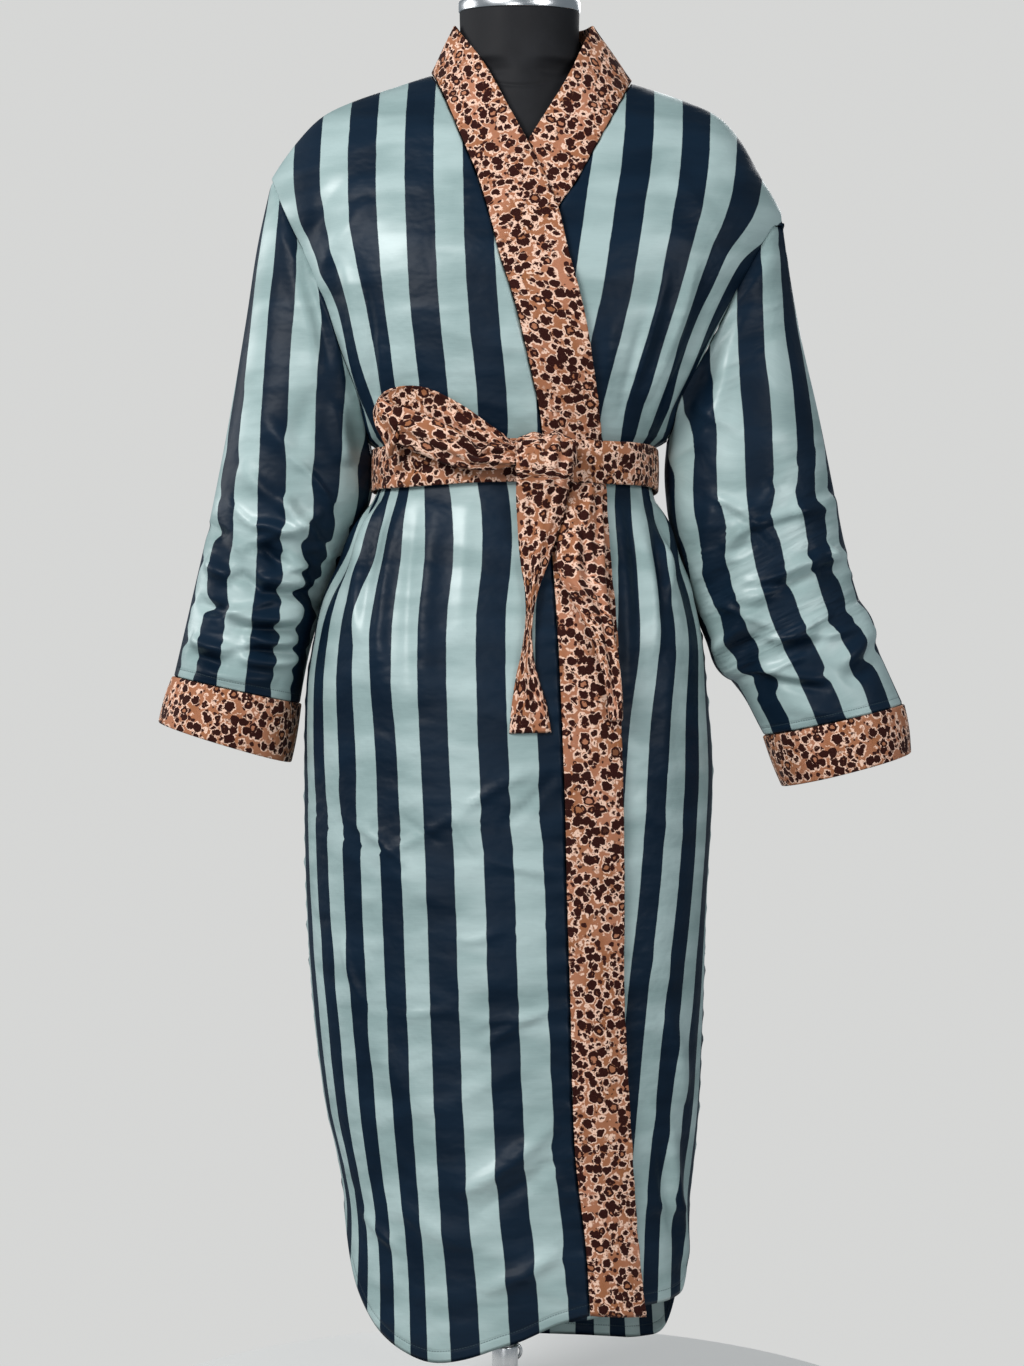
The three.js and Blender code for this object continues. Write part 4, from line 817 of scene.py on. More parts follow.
under_crease = folds(under_x, under_z, under_folds) * under_shown + under_puckers
under_points, under_normals = dress("front", under_x, under_z, 0.0, under_crease)
under_u = across_stripes(under_points, under_x, under_z, under_grain, under_fullness)
under_maps = {
    "cloth": np.stack([under_u, under_z], axis=2),
    "edge": hem_map(under_points, under_z, read(under_hem, "across", "z", front_across)),
}
under_front = cloth("front_under", under_points, under_normals, satin_thickness, under_maps, satin,
                    nodes=("front_left",))


# Sleeves: wide straight tubes of the same satin with its stripes running down them.
# Each is sewn to the armhole with the seam pressed towards it, and hangs in cross folds over the elbow.
def oval(section, around):
    """A leaning oval through a section's inner and outer points, from the underarm round by the front:
    out = (1 - cos a) / 2 of the way across, and depth sin a forward."""
    out = (1 - np.cos(around)) / 2
    x = section["innerX"] + (section["outerX"] - section["innerX"]) * out
    z = section["innerZ"] + (section["outerZ"] - section["innerZ"]) * out
    return np.stack([x, -section["depth"] * np.sin(around) + 0 * x, z], axis=2)


armhole_rise = np.array([0, 0.11, 0.23, 0.35, 0.47, 0.58, 0.68, 0.77, 0.85, 0.915, 0.965, 1.0])
sleeve_length = 400.0
sleeve_rows = 176
sleeve_steps = 144
sleeve_front = sleeve_steps // 4
sleeve_turn = np.linspace(0.0, 2 * np.pi, sleeve_steps + 1)[None, :]
sleeve_columns = "s outerX outerZ innerX innerZ depth hold"
right_sections = table(sleeve_columns, [
    (0, -224, 1208, -132, 957, 60, 1), (1, -238, 1142, -126, 926, 63, 0.55),
    (2, -249, 1068, -132.5, 888, 65, 0.2), (3, -264, 978, -154, 846, 65, 0),
    (4, -283, 880, -173, 806, 63, 0), (5, -300, 805, -184.5, 767, 62, 0),
    (6, -309, 766, -192, 735, 61, 0), (7, -317, 732, -197, 706, 61, 0),
])
left_sections = table(sleeve_columns, [
    (0, 265, 1176, 156, 957, 60, 1), (1, 273, 1118, 153.5, 925, 64, 0.55),
    (2, 284, 1055, 156.5, 886, 67, 0.2), (3, 301, 980, 168.5, 840, 68, 0), (4, 317, 900, 181, 798, 68, 0),
    (5, 333, 825, 199.5, 752, 68, 0), (6, 354, 766, 229, 712, 67, 0), (7, 381, 705, 249, 675, 67, 0),
])
right_grain = table("z x", [
    (690, -247), (765, -238), (840, -232), (896, -231), (970, -228.6), (1008, -226.7), (1083, -222),
    (1120, -218), (1210, -212),
])
left_grain = table("z x", [
    (650, 308), (690, 291), (728, 275), (765, 257), (784, 249), (840, 233), (896, 226), (970, 223),
    (1008, 220), (1083, 218), (1120, 221), (1180, 226),
])


def armhole_ring(front_edge, back_edge, side):
    """The armhole's edge round the sleeve's turn: up the front from the underarm and down the back.
    The sleeve starts 2 mm under it, as a seam allowance does, and a gap beside it near the underarm."""
    turn = sleeve_turn[0]
    share = np.where(turn <= np.pi, turn / np.pi, 2 - turn / np.pi)
    rise = np.interp(share * 11, np.arange(12), armhole_rise)
    front_rise = shoulder_shares(front_high_rows)
    back_rise = shoulder_shares(back_high_rows)

    def joined(front_line, back_line):
        """Up the front's line and down the back's, meeting at the underarm."""
        front = np.stack([np.interp(rise, front_rise, column) for column in front_line.T], axis=1)
        rear = np.stack([np.interp(rise, back_rise, column) for column in back_line.T], axis=1)
        line = np.where(turn[:, None] <= np.pi, front, rear)
        line[[0, -1]] = (line[0] + line[-1]) / 2
        return line

    ring = joined(front_edge[0], back_edge[0])
    beside = joined(front_edge[1], back_edge[1])
    near = (1 - ease(0, 0.25, rise))[:, None]
    way = ring - beside
    way = way / np.maximum(np.linalg.norm(way, axis=1, keepdims=True), 1e-9)
    allowance = 2.0
    return ring - allowance * way * (1 - 0.6 * near) + seam_gap * np.array([side, 0, 0]) * near


def sleeve_points(sections, ring, rows):
    """Ovals down the sleeve, that keep a falling share of the armhole's own shape near their start."""
    at = np.linspace(0.0, 7.0, rows)[:, None]
    section = {name: read(sections, "s", name, at) for name in sections}
    start = oval({name: sections[name][:1, None] for name in sections}, sleeve_turn)
    return oval(section, sleeve_turn) + section["hold"][..., None] * (ring[None] - start)


def tube_stripes(points, grain, side):
    """Width of cloth round the tube from the grain line on its front, towards the wearer's left, and the
    place along the stripes. Only the part of a step that is square to the stripes counts as width."""
    steps = np.diff(points, axis=1)
    half_turn = sleeve_steps // 2
    middle = points[:, :1, 2] * 0.5 + points[:, half_turn:half_turn + 1, 2] * 0.5
    slope = (read(grain, "z", "x", middle + 15) - read(grain, "z", "x", middle - 15)) / 30
    way = np.stack([slope, 0 * slope, 1 + 0 * slope], axis=2)
    way = way / np.linalg.norm(way, axis=2, keepdims=True)
    along = np.sum(steps * way, axis=2, keepdims=True) * way
    run = np.pad(np.cumsum(np.linalg.norm(steps - along, axis=2), axis=1), ((0, 0), (1, 0)))
    front = slice(0, half_turn + 1)
    gap = points[:, front, 0] - read(grain, "z", "x", points[:, front, 2])
    u = run - at_crossing(gap, run[:, front])
    return side * u, np.sum(points * way, axis=2)


def sleeve(name, side, sections, grain, ring, front_rows, back_rows, node):
    """One sleeve: its tube, the folds of its front and back, and its maps."""
    points = sleeve_points(sections, ring, sleeve_rows)
    normals = facing(gradient_normals(points, around=True), 120, sleeve_front, (0, -1, 0))
    forward = np.sin(sleeve_turn) + 0 * points[..., 0]
    x, z = points[..., 0], points[..., 2]
    crease = folds(x, z, front_rows) * ease(-0.35, 0.15, forward)
    crease = crease + folds(x, z, back_rows) * ease(-0.35, 0.15, -forward)
    down = np.linspace(0.0, 1.0, len(points))[:, None]
    crease = crease * ease(0, 0.06, down)
    seam_side = np.abs(np.minimum(sleeve_turn, 2 * np.pi - sleeve_turn)) * 60
    crease = crease + ripples(seam_side + 0 * x, z, 0.7 + side, 20, 0.3, 43) * ease(0.1, 0.25, down)
    tuck = 2.2 * np.exp(-(down * sleeve_length / 5) ** 2) * ease(0.0, 0.5, 1 - np.cos(sleeve_turn))
    points = points + normals * (crease - tuck)[..., None]
    u, v = tube_stripes(points, grain, side)
    below = np.linalg.norm(np.diff(points, axis=0), axis=2)[::-1]
    above_seam = np.pad(np.cumsum(below, axis=0)[::-1], ((0, 1), (0, 0)))
    maps = {"cloth": np.stack([u, v], axis=2), "edge": np.stack([u, above_seam + 3.0], axis=2)}
    piece = cloth(name, points, normals, satin_thickness, maps, satin, around=True, nodes=(node,))
    return piece, points, normals


over_armhole = over_points[front_low_rows - 1:]
under_armhole = under_points[front_low_rows - 1:]
back_armholes = back_points[back_low_rows - 1:]
right_ring = armhole_ring((over_armhole[:, -1], over_armhole[:, -2]),
                          (back_armholes[:, 0], back_armholes[:, 1]), -1.0)
left_ring = armhole_ring((under_armhole[:, -1], under_armhole[:, -2]),
                         (back_armholes[:, -1], back_armholes[:, -2]), 1.0)
right_front_folds = [
    (-214, 1165, -176, 1000, 11.6, 5, -8), (-196, 1120, -166, 1010, 7.2, -5, -6),
    (-156, 990, -146, 930, 8.7, 6.7, 3), (-176, 1000, -196, 930, 10.2, -4.1, 5),
    (-230, 980, -180, 930, 10.2, 4.7, 4), (-250, 930, -196, 890, 8.7, 5, 5),
    (-209, 900, -178, 862, 7.2, 8.8, 3), (-238, 872, -190, 862, 5.8, 8.8, -3),
    (-226, 856, -206, 834, 5.8, -8.8, 2), (-282, 880, -250, 852, 7.2, -6.7, 3),
    (-282, 842, -252, 824, 7.2, 8.7, 3), (-256, 828, -229, 811, 5.8, -9.8, -2),
    (-233, 812, -174, 810, 5.8, -9.8, 3), (-232, 823, -180, 822, 7.2, 9, 3),
    (-292, 804, -258, 790, 6.5, -9, 2), (-262, 793, -190, 788, 7.2, 10.6, 6),
    (-258, 781, -196, 777, 5.8, -8.7, 4), (-244, 772, -196, 764, 6.5, 9.8, 3),
    (-296, 768, -254, 755, 7.2, 8.7, 3), (-242, 760, -200, 753, 5.8, -7.4, 2),
    (-250, 749, -194, 749, 5.8, 7.8, 5), (-300, 752, -262, 741, 5.8, -6.7, -2),
    (-290, 738, -214, 728, 6.5, 5.9, 3), (-190, 880, -166, 840, 7.2, 7, 0),
    (-182, 850, -176, 790, 7.2, -6.7, 3), (-204, 842, -182, 836, 5.8, 7, 2),
    (-270, 862, -240, 846, 5.8, 5.9, -2), (-246, 854, -170, 887, 4, 4.6, 5),
    (-229, 819, -174, 836, 4, 4.4, -4), (-280, 786, -204, 811, 4, 4.6, 4),
    (-255, 760, -196, 769, 3.8, 4.2, 3), (-204, 938, -161, 887, 4, 4.4, -5),
    (-262, 902, -226, 868, 4, 3.6, 4),
]
right_back_folds = [
    (-230, 1010, -180, 950, 13, 5, 5), (-260, 920, -190, 870, 11.6, 6.7, -6),
    (-270, 870, -200, 840, 8.7, -5, 4), (-290, 820, -215, 800, 11.6, 6.3, 5),
    (-300, 775, -220, 760, 8.7, 5.5, -4), (-285, 745, -225, 735, 7.2, -3.9, 3),
]
left_front_folds = [
    (262, 1140, 196, 1010, 11.6, 4.3, 8), (232, 1090, 184, 990, 7.2, -4.7, 6),
    (214, 1040, 178, 940, 8.7, 5, -4), (229, 890, 248, 907, 6.5, -5, 0),
    (222, 884, 252, 912, 7.2, 4.8, 3), (276, 893, 312, 912, 8.7, -7, 3),
    (268, 884, 316, 902, 10.2, 7.4, -3), (203, 852, 228, 878, 7.2, 5, 3),
    (210, 846, 232, 858, 7.2, -4.3, 0), (262, 836, 300, 832, 7.2, 6.7, -2),
    (290, 828, 322, 838, 8.7, -7.4, 2), (286, 846, 326, 848, 8.7, 6.3, 2),
    (240, 810, 290, 830, 8.7, -7.4, 3), (216, 800, 266, 822, 8.7, 7, 3),
    (248, 760, 290, 782, 5.8, 4.3, 3), (256, 752, 300, 770, 5.8, -4.3, 3),
    (262, 770, 306, 792, 7.2, 4.8, 3), (210, 742, 246, 770, 8.7, -7, -4),
    (200, 756, 240, 790, 8.7, 6.7, -4), (236, 740, 300, 727, 5.8, 6.7, 2),
    (240, 732, 306, 719, 5.8, -6.3, 2), (316, 728, 352, 762, 8.7, -6.7, 5),
    (308, 740, 346, 778, 8.7, 6.3, 5), (206, 770, 222, 730, 10.2, 7.4, 4),
    (226, 742, 250, 706, 8.7, -6.3, -3), (330, 800, 352, 764, 8.7, 5.9, -3),
    (260, 706, 360, 690, 7.2, 3.5, 3), (200, 900, 186, 820, 10.2, 5.9, 3),
    (214, 840, 196, 790, 8.7, -5, 3), (178, 989, 221, 964, 4, 3.5, 4), (187, 904, 254, 854, 4.2, 5, -5),
    (192, 896, 250, 846, 3.6, -3.6, -5), (212, 862, 314, 888, 4, 4.6, -6),
    (221, 819, 297, 845, 4, 4.8, 5), (226, 812, 300, 836, 3.4, -3.6, 5), (192, 800, 263, 769, 4, 4.6, -4),
    (226, 769, 339, 777, 4, 4.4, 5), (229, 734, 280, 751, 3.6, 4, 3), (300, 858, 332, 826, 3.8, 4.2, 4),
]
left_back_folds = [
    (250, 1010, 196, 950, 13, 5, -5), (300, 920, 210, 870, 11.6, 7, 6),
    (306, 880, 220, 838, 8.7, -5.5, -4), (330, 830, 226, 800, 11.6, 7.4, -5),
    (340, 790, 240, 762, 8.7, 6.3, 4), (352, 752, 256, 728, 8.7, -5.5, -3),
    (362, 728, 268, 702, 8.7, 5.5, 3),
]
right_sleeve, right_tube, right_out = sleeve(
    "sleeve_of_right_arm", -1.0, right_sections, right_grain, right_ring,
    right_front_folds, right_back_folds, "sleeve_right",
)
left_sleeve, left_tube, left_out = sleeve(
    "sleeve_of_left_arm", 1.0, left_sections, left_grain, left_ring,
    left_front_folds, left_back_folds, "sleeve_left",
)


# Cuffs: straight bands of short plush, folded double over soft lining and sewn on to the sleeves' ends.
# The plush is printed with uneven dark rosettes on a caramel ground with paler streaks between them.
def plush_finish():
    """Printed plush. Cells 9 mm wide each hold one dark spot with a torn outline, some of them hollow.
    Pale crescents lie round the spots and small dots between them, and the pile clouds the gloss."""
    finish = Finish("printed_plush")
    flat = finish.place("cloth")
    bend = finish.add("ShaderNodeTexNoise", {}, {"Vector": flat, "Scale": 95.0, "Detail": 2.0})["Color"]
    bend = finish.add("ShaderNodeVectorMath", {"operation": "MULTIPLY_ADD"},
                      {0: bend, 1: (0.006, 0.006, 0.0), 2: flat})["Vector"]
    cells = finish.add("ShaderNodeTexVoronoi", {"feature": "F1"},
                       {"Vector": bend, "Scale": 114.0, "Randomness": 0.75})
    own = finish.add("ShaderNodeSeparateColor", {}, {"Color": cells["Color"]})
    torn = finish.grain(flat, 340.0, 2.0)
    reach = own["Red"] * 0.18 + 0.4
    from_middle = cells["Distance"] + (torn - 0.5) * 0.5 - reach
    spot = 1 - from_middle.rises(-0.03, 0.03)
    hollow = 1 - (1 - (from_middle + 0.27).rises(-0.03, 0.05)) * own["Green"].rises(0.7, 0.74)
    streaks = finish.grain(finish.stretched(bend, (120.0, 90.0, 1.0)), 1.0, 2.0, 0.5)
    halo = (1 - (from_middle - 0.075).size().rises(0.04, 0.1)) * streaks.rises(0.36, 0.48)
    dots = finish.add("ShaderNodeTexVoronoi", {"feature": "F1"},
                      {"Vector": bend, "Scale": 165.0, "Randomness": 1.0})
    rare = finish.add("ShaderNodeSeparateColor", {}, {"Color": dots["Color"]})["Blue"].rises(0.3, 0.34)
    beside = rare * from_middle.rises(0.04, 0.09)
    dot = (1 - (dots["Distance"] + (torn - 0.5) * 0.3).rises(0.34, 0.42)) * beside
    pile = finish.grain(flat, 900.0, 3.0, 0.65)
    # Broad sweeps of the nap: a soft relief, and a painted sheen that paints the caramel ground lighter
    # along them.
    nap_and_painted_sheen = finish.grain(finish.stretched(flat, (22.0, 12.0, 1.0)), 1.0, 3.0)
    caramel = finish.blend(nap_and_painted_sheen.rises(0.3, 0.7), (0.3, 0.112, 0.045, 1.0), (0.45, 0.19, 0.11, 1.0))
    tone = finish.blend(halo * 0.92, caramel, (0.88, 0.6, 0.46, 1.0))
    tone = finish.blend(spot * hollow, tone, (0.024, 0.003, 0.002, 1.0))
    tone = finish.blend(dot, tone, (0.035, 0.007, 0.005, 1.0))
    tone = finish.blend(pile.rises(0.35, 0.85) * 0.05, tone, (0.5, 0.3, 0.22, 1.0))
    normal = finish.relief(pile, 0.0011, 0.55)
    normal = finish.relief(nap_and_painted_sheen, 0.004, 0.3, normal)
    return finish.close(Base_Color=tone, Roughness=0.62 + pile * 0.25, Normal=normal,
                        Specular_IOR_Level=0.08, Sheen_Weight=0.06, Sheen_Roughness=0.4)


def map_of(points, around=False):
    """A flat map of a grid: how far each point lies across it from its first column, and along it from its
    first row."""
    across = np.linalg.norm(np.diff(points, axis=1), axis=2)
    along = np.linalg.norm(np.diff(points, axis=0), axis=2).mean(axis=1)
    u = np.pad(np.cumsum(across, axis=1), ((0, 0), (1, 0)))
    if around:
        u = np.broadcast_to(u.mean(axis=0), u.shape)
    v = np.concatenate([[0.0], np.cumsum(along)])[:, None] + 0 * u
    return {"cloth": np.stack([u, v], axis=2)}


plush = plush_finish()
cuff_ends = {
    "right": {"outerX": -333.0, "outerZ": 688.0, "innerX": -206.0, "innerZ": 649.0, "depth": 64.0},
    "left": {"outerX": 390.0, "outerZ": 659.0, "innerX": 267.0, "innerZ": 626.0, "depth": 69.0},
}


def cuff(side, tube_points, tube_out):
    """Straight from the sleeve's last ring, raised by the plush's extra thickness, to the end oval.
    It is crowned along its length, and its end waves a little."""
    last = tube_points[-1]
    end_ring = {name: np.array([[value]]) for name, value in cuff_ends[side].items()}
    end = oval(end_ring, sleeve_turn)[0]
    way = end - last
    way = way / np.linalg.norm(way, axis=1, keepdims=True)
    start = last + way * seam_gap * 1.3 + tube_out[-1] * (plush_thickness - satin_thickness)
    share = clustered(34, 1.5, 60.0)[:, None, None]
    points = start[None] * (1 - share) + end[None] * share
    normals = facing(gradient_normals(points, around=True), 20, sleeve_front, (0, -1, 0))
    down = share[..., 0]
    turn = sleeve_turn + 0 * down
    swell = 1.2 * np.sin(np.pi * down) + 0.9 * np.sin(3 * turn + 2.0 * down) * down
    swell = swell + 0.5 * np.sin(9 * turn + 1.3) * (1 - down) ** 2
    points = points + normals * swell[..., None]
    maps = map_of(points, around=True)
    piece = cloth("cuff_of_" + side + "_arm", points, normals, plush_thickness, maps, plush,
                  around=True, slot="printed_plush", nodes=("cuff_" + side,))


cuff("right", right_tube, right_out)
cuff("left", left_tube, left_out)


# Neckbands: long strips of the same plush, folded lengthwise and sewn to the fronts' slanted edges.
# They lie flat down the fronts, stand beside the neck, and are joined at the middle of the back.
def front_spot(x, z, lift):
    """A point of the front view set on the body and moved out by a lift, square to the body there."""
    step = 0.5
    slope_x = (body_depth("front", x + step, z) - body_depth("front", x - step, z)) / (2 * step)
    slope_z = (body_depth("front", x, z + step) - body_depth("front", x, z - step)) / (2 * step)
    normal = np.stack([-slope_x, -np.ones_like(slope_x), -slope_z], axis=-1)
    normal = normal / np.linalg.norm(normal, axis=-1, keepdims=True)
    point = np.stack([x, -body_depth("front", x, z) - seam_gap / 2, z], axis=-1)
    return point + normal * np.asarray(lift)[..., None]


band_columns = "seamZ edgeX edgeZ edgeY stand"
over_band = table(band_columns, [
    (146, 128, 140, -110, 0), (209, 121, 207, -110, 0), (300, 115, 300, -110, 0),
    (437, 108, 437, -110, 0), (528, 108, 528, -110, 0), (619, 107, 619, -110, 0),
    (764, 102, 764, -110, 0), (837, 96, 837, -105, 0), (966, 87, 966, -100, 0), (1037, 78, 1032, -115, 0),
    (1073, 71, 1070, -118, 0), (1111, 58, 1120, -118, 0), (1150, 48, 1163, -110, 0),
    (1191, 28, 1211, -96, 0), (1233, 6, 1258, -76, 0.6), (1278, -19, 1306, -57, 1),
    (1307, -48, 1352, -16, 1),
])
under_band = table(band_columns, [
    (138, -93, 138, -110, 0), (300, -91, 300, -110, 0), (528, -90, 528, -110, 0),
    (764, -82, 764, -110, 0), (966, -63, 966, -100, 0), (1073, -42, 1080, -118, 0),
    (1111, -26, 1130, -112, 0), (1163, 1, 1192, -104, 0), (1188, 15, 1218, -90, 0),
    (1225, 35, 1252, -76, 0.7), (1262, 60, 1296, -56, 1), (1300, 84, 1354, -10, 1),
])
standing_edge = table("seamX x y z", [
    (-70, -48, -16, 1352), (-38, -46, 34, 1357), (-6, -15, 58, 1361), (26, 20, 64, 1363),
    (58, 52, 55, 1362), (90, 76, 28, 1359), (122, 84, -10, 1354),
])


band_width = 54.0


def neckband(name, stations, edge, edge_out, flat_lift, side, neck_points, neck_out, node):
    """Rows across the band: from a point on the seam, over the front or straight to the standing edge.
    The band swells a little between its edges, which pucker."""
    share = clustered(20, 1.5, band_width)
    plush_rise = plush_thickness - satin_thickness
    seam_out = edge - edge_out * satin_thickness + edge_out * plush_thickness
    seam_out = seam_out + np.array([side * seam_gap, 0, 0])
    at = {column: read(stations, "seamZ", column, edge[:, 2]) for column in stations}
    far = np.stack([at["edgeX"], at["edgeY"], at["edgeZ"]], axis=1)
    x = edge[:, :1] + (far[:, :1] - edge[:, :1]) * share
    z = edge[:, 2:] + (far[:, 2:] - edge[:, 2:]) * share
    flat = front_spot(x, z, flat_lift(x, z) + plush_rise)
    pucker = (seam_out - flat[:, 0])[:, None] * np.exp(-9 * share)[None, :, None]
    standing = seam_out[:, None] + (far - seam_out)[:, None] * share[None, :, None]
    stand = at["stand"][:, None, None]
    front = (flat + pucker) * (1 - stand) + standing * stand
    seam_back = neck_points + neck_out * plush_rise + np.array([0, 0, 3 * seam_gap])
    neck_x = neck_points[:, 0]
    far_back = np.stack([read(standing_edge, "seamX", axis, neck_x) for axis in "xyz"], axis=1)
    rear = seam_back[:, None] + (far_back - seam_back)[:, None] * share[None, :, None]
    rear[-1, :, 0] = (neck_right + neck_left - side * seam_gap) / 2
    points = np.concatenate([front, rear])
    normals = facing(gradient_normals(points), 40, 12, (0, -1, 0))
    steps = np.linalg.norm(np.diff(points[:, 12], axis=0), axis=1)
    length = np.concatenate([[0.0], np.cumsum(steps)])[:, None]
    width = share * band_width
    swell = 0.9 * np.sin(np.pi * share) + 0 * length
    swell = swell + ripples(width, length, 1.9, 16, 0.8, 23)
    swell = swell + ripples((1 - share) * band_width, length, 0.3, 14, 0.6, 31)
    points = points + normals * swell[..., None]
    maps = {"cloth": np.stack([width + 0 * length, length + 0 * width], axis=2)}
    piece = cloth(name, points, normals, plush_thickness, maps, plush,
                  slot="printed_plush", nodes=(node,))


def no_lift(x, z):
    """The layer underneath lies on the body."""
    return 0 * x


right_half_of_neck = slice(56, 71)
left_half_of_neck = slice(84, 69, -1)
neckband("band_over", over_band, over_points[:, 0], over_normals[:, 0], over_lift, 1.0,
         back_points[-1, right_half_of_neck], back_normals[-1, right_half_of_neck], "neckband_right")
neckband("band_under", under_band, under_points[:, 0], under_normals[:, 0], no_lift, -1.0,
         back_points[-1, left_half_of_neck], back_normals[-1, left_half_of_neck], "neckband_left")


# Belt: a long tube of the plush pressed flat, wound twice about the waist over everything else.
# It is tied at the front in a knot with one loop, and its two tails hang down from it.
belt_width = 40.0
belt_clear = 1.4
belt_proud = 0.7
band_lift = overlap_lift + plush_thickness - satin_thickness
belt_turn = np.linspace(-np.pi, np.pi, 289)[None, :]
belt_rise = clustered(26, 1.5, belt_width)[:, None]


def belt_point(turn, z, out):
    """A point on the body's section at waist height, held off it by the layers that lie under the belt."""
    behind = np.abs(turn) > np.pi / 2
    level = waist + 0 * turn
    x = x_at_turn(np.where(behind, np.sign(turn) * np.pi - turn, turn), level)
    depth = np.where(behind, body_depth("back", x, level), -body_depth("front", x, level))
    layers = np.where(behind, 0.0, band_lift * (1 - ease(0.7, 1.35, np.abs(turn))))
    away = np.stack([np.sin(turn), -1.2 * np.cos(turn), 0 * turn], axis=-1)
    away = away / np.linalg.norm(away, axis=-1, keepdims=True)
    return np.stack([x, depth, z + 0 * x], axis=-1) + away * (layers + belt_clear + out)[..., None]


belt_front_folds = [
    (67, 934, 124, 926, 3.2, -2.4, 1), (80, 940, 130, 936, 4, 1, 0), (70, 921, 130, 915, 4, 1.2, -1),
    (-126, 914, -30, 934, 3, -2.6, 2), (-120, 925, -34, 944, 4, 1.4, 2), (-110, 908, -40, 920, 4, 1.6, 0),
    (84, 948, 96, 908, 5, 0.9, 1), (-96, 946, -88, 910, 6, 0.8, -1),
]
belt_back_folds = [
    (-110, 920, -20, 932, 3.2, -2.2, 2), (10, 936, 110, 922, 3.2, -2.2, -2),
    (-90, 940, -30, 944, 4, 1.2, 0), (30, 916, 96, 914, 4, 1.2, 0), (-6, 910, 4, 946, 5, 1.2, 1),
]
sway = 1.3 * np.sin(2 * belt_turn + 0.6) + 0.7 * np.sin(5 * belt_turn + 1.9)
belt_z = waist - belt_width / 2 + belt_width * belt_rise + sway
belt_out = plush_thickness + belt_proud * np.sin(np.pi * belt_rise) + 0.0 * belt_turn
belt_shape = belt_point(belt_turn + 0 * belt_rise, belt_z, belt_out)
belt_normals = facing(gradient_normals(belt_shape, around=True), 13, 144, (0, -1, 0))
in_front = ease(-0.1, 0.3, np.cos(belt_turn)) + 0 * belt_rise
belt_crease = folds(belt_shape[..., 0], belt_z, belt_front_folds) * in_front
belt_crease = belt_crease + folds(belt_shape[..., 0], belt_z, belt_back_folds) * (1 - in_front)
belt_shape = belt_shape + belt_normals * (belt_crease + 0.6)[..., None]
belt_maps = map_of(belt_shape, around=True)
belt = cloth("belt_round_waist", belt_shape, belt_normals, plush_thickness, belt_maps, plush,
             around=True, slot="printed_plush", nodes=("belt_wrap",))


def strip_points(stations, rows, share):
    """A strip by stations down it. Its two edges are smooth lines off the body, between which it bellies
    out by its crown."""
    at = np.linspace(0.0, stations["s"][-1], rows)[:, None]
    side = {name: read(stations, "s", name, at) for name in stations}
    left = front_spot(side["leftX"], side["leftZ"], side["leftLift"])
    right = front_spot(side["rightX"], side["rightZ"], side["rightLift"])
    points = left + (right - left) * share[None, :, None]
    points[..., 1] -= side["crown"] * 4 * share * (1 - share)
    return points


def belt_strip(name, stations, rows, wide, crease_rows, node, mark, length):
    """One free part of the belt: its strip, the folds along and across it, and its cut.
    The row called mark faces forwards, and also says how far along the cloth the print is taken from."""
    share = clustered(22, 1.5, wide)
    points = strip_points(stations, rows, share)
    normals = facing(gradient_normals(points), mark, 14, (0, -1, 0))
    down = np.linspace(0.0, 1.0, rows)[:, None] * length + 0 * share
    across = share * wide + 0 * down
    rolled = np.exp(-(share * wide / 2.4) ** 2) + np.exp(-((1 - share) * wide / 2.4) ** 2)
    crease = folds(across, down, crease_rows) - 1.5 * rolled
    points = points + normals * crease[..., None]
    maps = {"cloth": np.stack([across, down + (mark + 3) * 37.0], axis=2)}
    piece = cloth(name, points, normals, plush_thickness, maps, plush,
                  slot="printed_plush", nodes=(node,))


strip_columns = "s leftX leftZ rightX rightZ leftLift rightLift crown"
tail_in_front = table(strip_columns, [
    (0, 15, 948, 54, 948, 23, 23, 2), (1, 12, 957, 57, 957, 27, 27, 3), (2, 11, 954, 57, 954, 33, 33, 3),
    (3, 10, 940, 57, 940, 36, 36, 4), (4, 10, 922, 56, 922, 36, 36, 4), (5, 10, 906, 55, 906, 32, 32, 4),
    (6, 10, 888, 54, 888, 24, 24, 3), (7, 11, 866, 50, 866, 18, 18, 3),
    (8, 12, 846, 44, 846, 14.5, 15, 3), (9, 14, 826, 38, 826, 12, 14, 3),
    (10, 17, 806, 31, 806, 10, 13, 3), (11, 18, 782, 26, 782, 9, 13, 2), (12, 15, 758, 26, 758, 9, 11, 2),
    (13, 10, 732, 30, 732, 9, 10, 1), (14, 6, 704, 38, 705, 9, 10, 1), (15, 4, 679, 42, 680, 9, 10, 1),
])
tail_behind = table(strip_columns, [
    (0, 57, 908, 84, 906, 16, 16, 3), (1, 51, 880, 86, 877, 15, 16, 4),
    (2, 46, 850, 88, 846, 13.5, 16, 4), (3, 47, 822, 89, 815, 13, 17, 5),
    (4, 58, 798, 92, 793, 14, 18, 5), (5, 70, 774, 96, 771, 14, 18, 5), (6, 80, 748, 99, 748, 14, 18, 4),
    (7, 87, 720, 103, 720, 14, 17, 4), (8, 90, 690, 104, 690, 13, 16, 3),
])
bow_loop = table(strip_columns, [
    (0, 12, 922, 12, 942, 27, 27, 3), (1, -20, 918, -14, 950, 27, 27, 5),
    (2, -52, 926, -42, 966, 29, 28, 6), (3, -82, 942, -70, 980, 31, 29, 4),
    (4, -101, 966, -94, 988, 30, 27, 1), (5, -108, 984, -105, 996, 22, 19, 0),
    (6, -97, 968, -92, 1001, 13, 11, 0), (7, -78, 956, -68, 998, 12, 9, 0),
    (8, -46, 942, -38, 983, 14, 11, 0), (9, -16, 934, -10, 963, 15, 13.5, 0),
    (10, 12, 930, 12, 948, 14.5, 14.5, 0),
])
